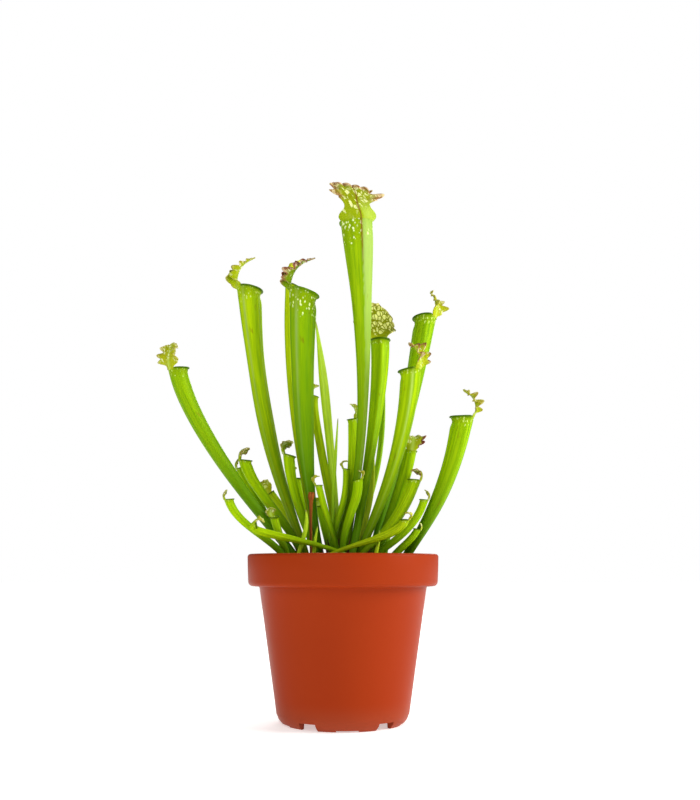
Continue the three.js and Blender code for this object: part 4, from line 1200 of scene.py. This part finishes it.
def sheet_of(name, points, fields, thickness=0.0):
    """A grid laid over the given points, with its marks. With a thickness it becomes a blade, without
    one its two long edges are sewn to a closed skin."""
    shape = points.shape[:2]
    clear_selection()
    bpy.ops.mesh.primitive_grid_add(
        x_subdivisions=shape[1] - 1, y_subdivisions=shape[0] - 1, size=2, calc_uvs=True,
    )
    piece = named(name)
    piece.data.vertices.foreach_set("co", (points.reshape(-1, 3) * MM).astype(np.float32).ravel())
    for title, values in fields.items():
        keep(piece, title, np.stack([value + np.zeros(shape) for value in values], -1))
    if thickness:
        wall = piece.modifiers.new("Blade", "SOLIDIFY")
        wall.thickness = thickness
        wall.offset = 0
        bpy.ops.object.modifier_apply(modifier=wall.name)
    else:
        edit(lambda: bpy.ops.mesh.remove_doubles(threshold=2e-6))
    edit(turn_faces_out)
    bpy.ops.object.shade_smooth()
    return piece


def join(pieces, name):
    clear_selection()
    for piece in pieces:
        piece.select_set(True)
    bpy.context.view_layer.objects.active = pieces[0]
    bpy.ops.object.join()
    return named(name)


def settle(piece, slot, *nodes):
    """Says what the piece rides on and what it stands for; its slot, the finish it would take, is not used.
    """
    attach(piece, "root")
    if nodes:
        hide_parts(*nodes)


def make_leaf(leaf, settings):
    """One leaf with its tube, lip, cup and hood, or one leaf without a mouth."""
    marks = leaf.marks
    name = leaf.name + "_leaf"
    if leaf.hood:
        piece = sheet_of(name, *tube_form(leaf, settings.lip_size))
        piece.data.materials.append(material_called("Trumpet skin", tube_material, settings))
        hood = sheet_of(name + "_hood", *hood_form(leaf), thickness=settings.blade)
        title = "Netted hood skin" if marks.net else "Hood skin"
        hood.data.materials.append(material_called(title, hood_material, settings, marks.net > 0))
        piece = join([piece, hood], name)
        slot = "trumpet" if leaf.size == "large" else "young_leaf"
    elif leaf.torn:
        piece = sheet_of(name, *stalk_form(leaf))
        piece.data.materials.append(material_called("Dried leaf", dried_material, *DRIED_LEAF))
        slot = "dried_leaf"
    else:
        piece = sheet_of(name, *stalk_form(leaf))
        piece.data.materials.append(material_called("Flat leaf skin", flat_material))
        slot = "flat_leaf"
    keep_everywhere(piece, "tint", marks.yellow, marks.dark, marks.bright)
    keep_everywhere(piece, "flush", marks.pink, marks.purple, marks.net)
    settle(piece, slot, leaf.name)


def make_leaves(context, *kinds):
    """Makes the leaves of the table whose names start with one of the given words."""
    for leaf in LEAVES:
        if leaf.name.startswith(kinds):
            make_leaf(leaf, context.scene.pitcher_plant.leaf)


def pot_place(radius, angle, height):
    """A point in metres, from its place round the pot's axis in millimetres and radians."""
    x = AXIS_X + radius * math.cos(angle)
    y = AXIS_Y + radius * math.sin(angle)
    return (x * MM, y * MM, height * MM)


def ring_solid(name, sides, rings):
    """A turned solid: a disc raised, narrowed and widened ring by ring."""
    radius, height = rings[0]
    clear_selection()
    bpy.ops.mesh.primitive_circle_add(
        vertices=sides, radius=radius * MM, fill_type="NGON", location=pot_place(0, 0, height),
    )
    piece = named(name)
    bpy.ops.object.transform_apply(location=True, rotation=True, scale=True)

    def raise_rings():
        for (radius, height), (next_radius, next_height) in zip(rings, rings[1:]):
            climb = (0, 0, (next_height - height) * MM)
            grow = next_radius / radius
            bpy.ops.mesh.extrude_region_move(TRANSFORM_OT_translate={"value": climb})
            bpy.ops.transform.resize(value=(grow, grow, 1), center_override=pot_place(0, 0, 0))
        turn_faces_out()

    edit(raise_rings)
    return piece


def arc(radius, height, size, start, end, steps):
    """Ring sizes along a rounded corner."""
    turns = np.radians(np.linspace(start, end, steps))
    return [(radius + size * math.cos(a), height + size * math.sin(a)) for a in turns]


def cut(piece, cutter):
    """Takes the cutter's shape out of the piece."""
    clear_selection()
    piece.select_set(True)
    bpy.context.view_layer.objects.active = piece
    hole = piece.modifiers.new("Cut", "BOOLEAN")
    hole.operation = "DIFFERENCE"
    hole.solver = "EXACT"
    hole.object = cutter
    bpy.ops.object.modifier_apply(modifier=hole.name)
    remove(cutter)


def cut_notch(piece, radius, angle, width, height):
    """A notch through the foot ring, open at the ground."""
    length, under = 13, 2
    bpy.ops.mesh.primitive_cube_add(
        size=1, location=pot_place(radius, angle, (height - under) / 2), rotation=(0, 0, angle),
        scale=(length * MM, width * MM, (height + under) * MM),
    )
    cut(piece, bpy.context.object)


def drill(piece, radius, angle):
    """A drain hole through the pot's floor."""
    hole_radius, depth, middle = 4, 6, 6
    bpy.ops.mesh.primitive_cylinder_add(
        vertices=32, radius=hole_radius * MM, depth=depth * MM, location=pot_place(radius, angle, middle),
    )
    cut(piece, bpy.context.object)


def heap_at(x, y):
    """How the soil swells and sinks at a place beside the pot's axis."""
    return np.sin(x * 0.16 + 1) * np.cos(y * 0.19) + 0.6 * np.sin(y * 0.31 - x * 0.22)


class PITCHERPLANT_OT_pot(bpy.types.Operator):
    """Makes the nursery pot: tapered body, deep rim band, five feet and drain holes"""

    bl_idname = "pitcher_plant.pot"
    bl_label = "Make pot"

    def execute(self, context):
        pot = context.scene.pitcher_plant.pot
        rim = pot.rim_radius / MM
        top = pot.height / MM
        wall = pot.wall / MM
        # radii of the foot ring, of the body over it and of the body under the band
        foot, low, body_top = 43.5, 47.5, 61.2
        # heights of the crease over the foot, of the floor's two faces and of the band's lower edge
        crease, floor, floor_top, band = 6.6, 4.8, 7.2, 95.5
        ledge = band + wall
        slope = (body_top - low) / (band - crease)
        rings = [(foot - 3.6, floor), (foot - 3.2, 0.0)]
        rings += arc(foot - 0.6, 0.6, 0.6, -90, -10, 4)
        rings += [(foot + 1.2, 1.6), (foot + 2.6, crease * 0.5), (low - 0.5, crease - 1)]
        rings += [(low, crease), (low + 0.25, crease + 1.2)]
        rings += [(low + slope * (z - crease), z) for z in (30.0, 60.0, band - 1.2)]
        rings += [(body_top + 0.3, band - 0.3), (body_top + 1.1, band)]
        rings += arc(rim - 0.8 - 3.2, band + 3.2, 3.2, -90, 0, 7)
        rings += [(rim - 0.35, 107.0)]
        rings += arc(rim - 2.2, top - 2.2, 2.2, 4, 90, 7)
        rings += arc(rim - 2.4, top - 0.8, 0.8, 90, 180, 4)
        rings += [(rim - 3.3, top - 4), (rim - 4.2, ledge + 3), (rim - 5.4, ledge + 0.4)]
        rings += [(body_top - 0.9, ledge), (body_top - wall, ledge - 1.4)]
        rings += [(low + slope * (floor_top - crease) - wall, floor_top)]
        piece = ring_solid("nursery_pot", 160, rings)
        # each foot has a shallow arch under its middle, and between the feet are notches and holes
        feet, first_foot, hole_ring = 5, math.radians(-85.4), 31
        notch_width, arch_width, arch_height = 13.2, 15.4, 0.9
        step = math.radians(360 / feet)
        for i in range(feet):
            notch = first_foot + step * (i + 0.5)
            cut_notch(piece, foot, notch, notch_width, floor)
            cut_notch(piece, foot, first_foot + step * i, arch_width, arch_height)
            drill(piece, hole_ring, notch)
        drill(piece, 0, 0)
        bpy.ops.object.shade_smooth_by_angle(angle=math.radians(32))
        piece.data.materials.clear()
        piece.data.materials.append(material_called("Terracotta plastic", plastic_material, pot))
        settle(piece, "pot", "pot")
        return {"FINISHED"}


class PITCHERPLANT_OT_soil(bpy.types.Operator):
    """Fills the pot with peat, with crumbs on it and dead leaf bases round the crown"""

    bl_idname = "pitcher_plant.soil"
    bl_label = "Make soil"

    def execute(self, context):
        soil = context.scene.pitcher_plant.soil
        chance = random.Random(11)
        rings = [(45.2, 7.5), (58.7, 95.8), (59.5, 97.8), (64.0, 98.2), (65.8, 100.2)]
        rings += [(65.8, SOIL_TOP - 1)]
        rings += [(radius, SOIL_TOP) for radius in np.linspace(64, 1.2, 40)]
        piece = ring_solid("peat", 120, rings)
        mesh = piece.data
        place = np.empty(len(mesh.vertices) * 3)
        mesh.vertices.foreach_get("co", place)
        place = place.reshape(-1, 3) / MM
        x = place[:, 0] - AXIS_X
        y = place[:, 1] - AXIS_Y
        bumps = 0.6 * np.sin(x * 2.7) * np.sin(y * 2.3 + 1)
        small = np.sin(x * 1.3 + y * 0.7) * np.cos(y * 1.1 - x * 0.4) + bumps
        on_top = smooth(place[:, 2], SOIL_TOP - 1.2, SOIL_TOP - 0.6)
        place[:, 2] += on_top * (0.8 * heap_at(x, y) - 0.6 + 0.4 * small)
        mesh.vertices.foreach_set("co", (place * MM).ravel())
        bpy.ops.object.shade_smooth_by_angle(angle=math.radians(50))
        mesh.materials.append(material_called("Peat", peat_material, soil.peat, PEAT_DARK))
        settle(piece, "soil", "soil")
        self.crumbs(soil, chance)
        self.dead_bases(chance)
        return {"FINISHED"}

    def crumbs(self, soil, chance):
        """Crumbs of peat and bark, one lump shaped once and laid down many times."""
        clear_selection()
        bpy.ops.mesh.primitive_ico_sphere_add(subdivisions=1, radius=1)
        lump = bpy.context.object
        edit(lambda: bpy.ops.transform.vertex_random(offset=0.22, seed=3))
        corners = [vertex.co.copy() for vertex in lump.data.vertices]
        faces = [tuple(face.vertices) for face in lump.data.polygons]
        remove(lump)
        large_share, peat_share = 0.1, 0.72
        points, polygons, kinds = [], [], []
        for _ in range(soil.crumbs):
            radius = 64 * math.sqrt(chance.random())
            turn = chance.uniform(0, 2 * math.pi)
            size = chance.uniform(0.5, 1.5) * (1.4 if chance.random() > 1 - large_share else 1)
            x = radius * math.cos(turn)
            y = radius * math.sin(turn)
            middle = Vector((AXIS_X + x, AXIS_Y + y, SOIL_TOP + 0.8 * heap_at(x, y) - 0.4))
            tilt = Vector([chance.uniform(-1, 1) for _ in range(3)])
            spin = tilt.to_track_quat("Z", "Y")
            shape = Vector([chance.uniform(*span) for span in ((0.7, 1.5), (0.7, 1.3), (0.5, 0.9))]) * size
            first = len(points)
            points += [(middle + spin @ (corner * shape)) * MM for corner in corners]
            polygons += [tuple(first + i for i in face) for face in faces]
            kinds += [0 if chance.random() < peat_share else 1] * len(faces)
        mesh = bpy.data.meshes.new("peat_crumbs")
        mesh.from_pydata([tuple(point) for point in points], [], polygons)
        mesh.polygons.foreach_set("material_index", kinds)
        piece = bpy.data.objects.new("peat_crumbs", mesh)
        bpy.context.scene.collection.objects.link(piece)
        mesh.materials.append(material_called("Peat crumb", peat_material, *PEAT_CRUMB))
        mesh.materials.append(material_called("Bark crumb", peat_material, *BARK_CRUMB))
        settle(piece, "soil")

    def dead_bases(self, chance):
        """Brown sheaths of old leaves that stand between the living ones."""
        stubs = []
        for i in range(26):
            # each stands a little further out on a spiral, in an oval round the crown
            turn = i * 2.4
            radius = 4 + 1.05 * i
            x = radius * math.cos(turn) * 1.15 - 4
            y = radius * math.sin(turn) * 0.8
            tall = chance.uniform(11, 23) * (1 - 0.008 * i)
            lean = chance.uniform(2, 7)
            out_x = lean * math.cos(turn) * 1.2
            out_y = lean * math.sin(turn)
            wide = chance.uniform(3.0, 5.2)
            top = BEND_START + tall
            stub = Leaf(
                name="dead_base", size="stub", faces=math.degrees(turn), foot=(x, y), rise=tall * 0.4,
                reach=(x + out_x * 0.6, y + out_y * 0.6, top - tall * 0.3),
                mouth=(x + out_x, y + out_y, top),
                widths=(wide * 0.6, wide, wide * 0.8, wide * 0.45, 0.8), flat=0.35,
            )
            stubs.append(sheet_of("dead_base", *stalk_form(stub)))
        piece = join(stubs, "dead_leaf_bases")
        piece.data.materials.append(material_called("Dead sheath", dried_material, *DEAD_SHEATH))
        settle(piece, "dried_leaf")


class PITCHERPLANT_OT_rootstock(bpy.types.Operator):
    """Gives the buried rootstock its brown, knobbly bark"""

    bl_idname = "pitcher_plant.rootstock"
    bl_label = "Finish rootstock"

    def execute(self, context):
        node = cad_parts["rootstock"]
        node.data.materials.clear()
        node.data.materials.append(material_called("Rootstock bark", peat_material, *ROOT_BARK))
        return {"FINISHED"}


class PITCHERPLANT_OT_trumpets(bpy.types.Operator):
    """Makes the nine full-grown trumpets with their lips, cups and frilled hoods"""

    bl_idname = "pitcher_plant.trumpets"
    bl_label = "Make trumpets"

    def execute(self, context):
        make_leaves(context, "pitcher")
        return {"FINISHED"}


class PITCHERPLANT_OT_young_leaves(bpy.types.Operator):
    """Makes the young and short trumpets"""

    bl_idname = "pitcher_plant.young_leaves"
    bl_label = "Make young leaves"

    def execute(self, context):
        make_leaves(context, "young", "short", "low", "back")
        return {"FINISHED"}


class PITCHERPLANT_OT_flat_leaves(bpy.types.Operator):
    """Makes the flat leaves, the shoots, the spear and the dried stub"""

    bl_idname = "pitcher_plant.flat_leaves"
    bl_label = "Make flat leaves"

    def execute(self, context):
        make_leaves(context, "flat", "spear", "shoot", "dried")
        return {"FINISHED"}


class PITCHERPLANT_OT_stage(bpy.types.Operator):
    """Sets up the pale floor with its painted glow, the soft studio light and the camera"""

    bl_idname = "pitcher_plant.stage"
    bl_label = "Set the stage"

    def execute(self, context):
        stage = context.scene.pitcher_plant.stage
        scene = context.scene
        white = (1, 1, 1, 1)
        clear_selection()
        bpy.ops.mesh.primitive_plane_add(size=12, location=(0, 0, -0.0002))
        floor = named("studio_floor")
        bpy.ops.object.transform_apply(location=True, rotation=True, scale=True)
        material, tree, shader = new_material(
            "Studio floor", Roughness=0.9, Specular_IOR_Level=0.1, Base_Color=(*stage.floor, 1),
            Emission_Color=white,
        )
        # The floor glows by itself, dimmer near the pot and brighter further out: painted light that
        # whitens the far floor while the lamps' shadow still shows near the pot
        away = tree.nodes.new("ShaderNodeVectorMath")
        away.operation = "LENGTH"
        tree.links.new(object_place(tree), away.inputs[0])
        painted_floor_glow = eased(tree, away.outputs["Value"], 0.2, 1.4, 0.48, 0.75)
        feed(tree, shader.inputs["Emission Strength"], painted_floor_glow)
        floor.data.materials.append(material)
        world = bpy.data.worlds.new("Studio")
        world.use_nodes = True
        sky = world.node_tree
        rays = sky.nodes.new("ShaderNodeLightPath")
        sky.nodes["Background"].inputs[0].default_value = white
        strength = eased(sky, rays.outputs["Is Camera Ray"], 0, 1, 0.32, 1.0)
        feed(sky, sky.nodes["Background"].inputs[1], strength)
        scene.world = world
        scene.view_settings.view_transform = "Standard"
        lamps = (
            ("Key", (1.45, -0.28, 0.85), 0.9, stage.key_light),
            ("Fill", (-0.6, -1.35, 0.9), 1.2, stage.key_light * 0.36),
            ("Back", (0.2, 1.4, 1.1), 1.2, stage.key_light * 0.6),
        )
        aim = Vector((AXIS_X * MM, 0, 0.18))
        for name, place, size, power in lamps:
            data = bpy.data.lights.new(name, "AREA")
            data.shape = "DISK"
            data.size = size
            data.energy = power
            lamp = bpy.data.objects.new(name, data)
            lamp.location = place
            lamp.rotation_euler = (aim - Vector(place)).to_track_quat("-Z", "Y").to_euler()
            scene.collection.objects.link(lamp)
        camera = bpy.data.cameras.new("Camera")
        camera.lens = FOCAL_PIXELS / PHOTO_HEIGHT * SENSOR
        camera.sensor_width = SENSOR
        camera.clip_start = 0.01
        eye = bpy.data.objects.new("Camera", camera)
        eye.location = ((AXIS_X + EYE_ASIDE) * MM, AXIS_Y * MM - EYE_AWAY, EYE_HEIGHT)
        eye.rotation_euler = (math.radians(EYE_TILT), 0, 0)
        scene.collection.objects.link(eye)
        scene.camera = eye
        return {"FINISHED"}


class PITCHERPLANT_PT_panel(bpy.types.Panel):
    """Lists the steps and settings of the plant"""

    bl_idname = "PITCHERPLANT_PT_panel"
    bl_label = "Pitcher plant"
    bl_space_type = "VIEW_3D"
    bl_region_type = "UI"
    bl_category = "Pitcher plant"

    def draw(self, context):
        settings = context.scene.pitcher_plant
        for title in ("pot", "leaf", "soil", "stage"):
            box = self.layout.box()
            box.label(text=title.capitalize())
            group = getattr(settings, title)
            for name in group.__annotations__:
                box.prop(group, name)
        for step in STEPS:
            self.layout.operator("pitcher_plant." + step)


STEPS = ("pot", "soil", "rootstock", "trumpets", "young_leaves", "flat_leaves", "stage")
CLASSES = (
    PotSettings,
    LeafSettings,
    SoilSettings,
    StageSettings,
    PitcherPlantSettings,
    PITCHERPLANT_OT_pot,
    PITCHERPLANT_OT_soil,
    PITCHERPLANT_OT_rootstock,
    PITCHERPLANT_OT_trumpets,
    PITCHERPLANT_OT_young_leaves,
    PITCHERPLANT_OT_flat_leaves,
    PITCHERPLANT_OT_stage,
    PITCHERPLANT_PT_panel,
)


def register():
    for item in CLASSES:
        bpy.utils.register_class(item)
    bpy.types.Scene.pitcher_plant = bpy.props.PointerProperty(type=PitcherPlantSettings)


def unregister():
    del bpy.types.Scene.pitcher_plant
    for item in reversed(CLASSES):
        bpy.utils.unregister_class(item)


def main():
    register()
    for step in STEPS:
        getattr(bpy.ops.pitcher_plant, step)()


if __name__ == "__main__":
    main()
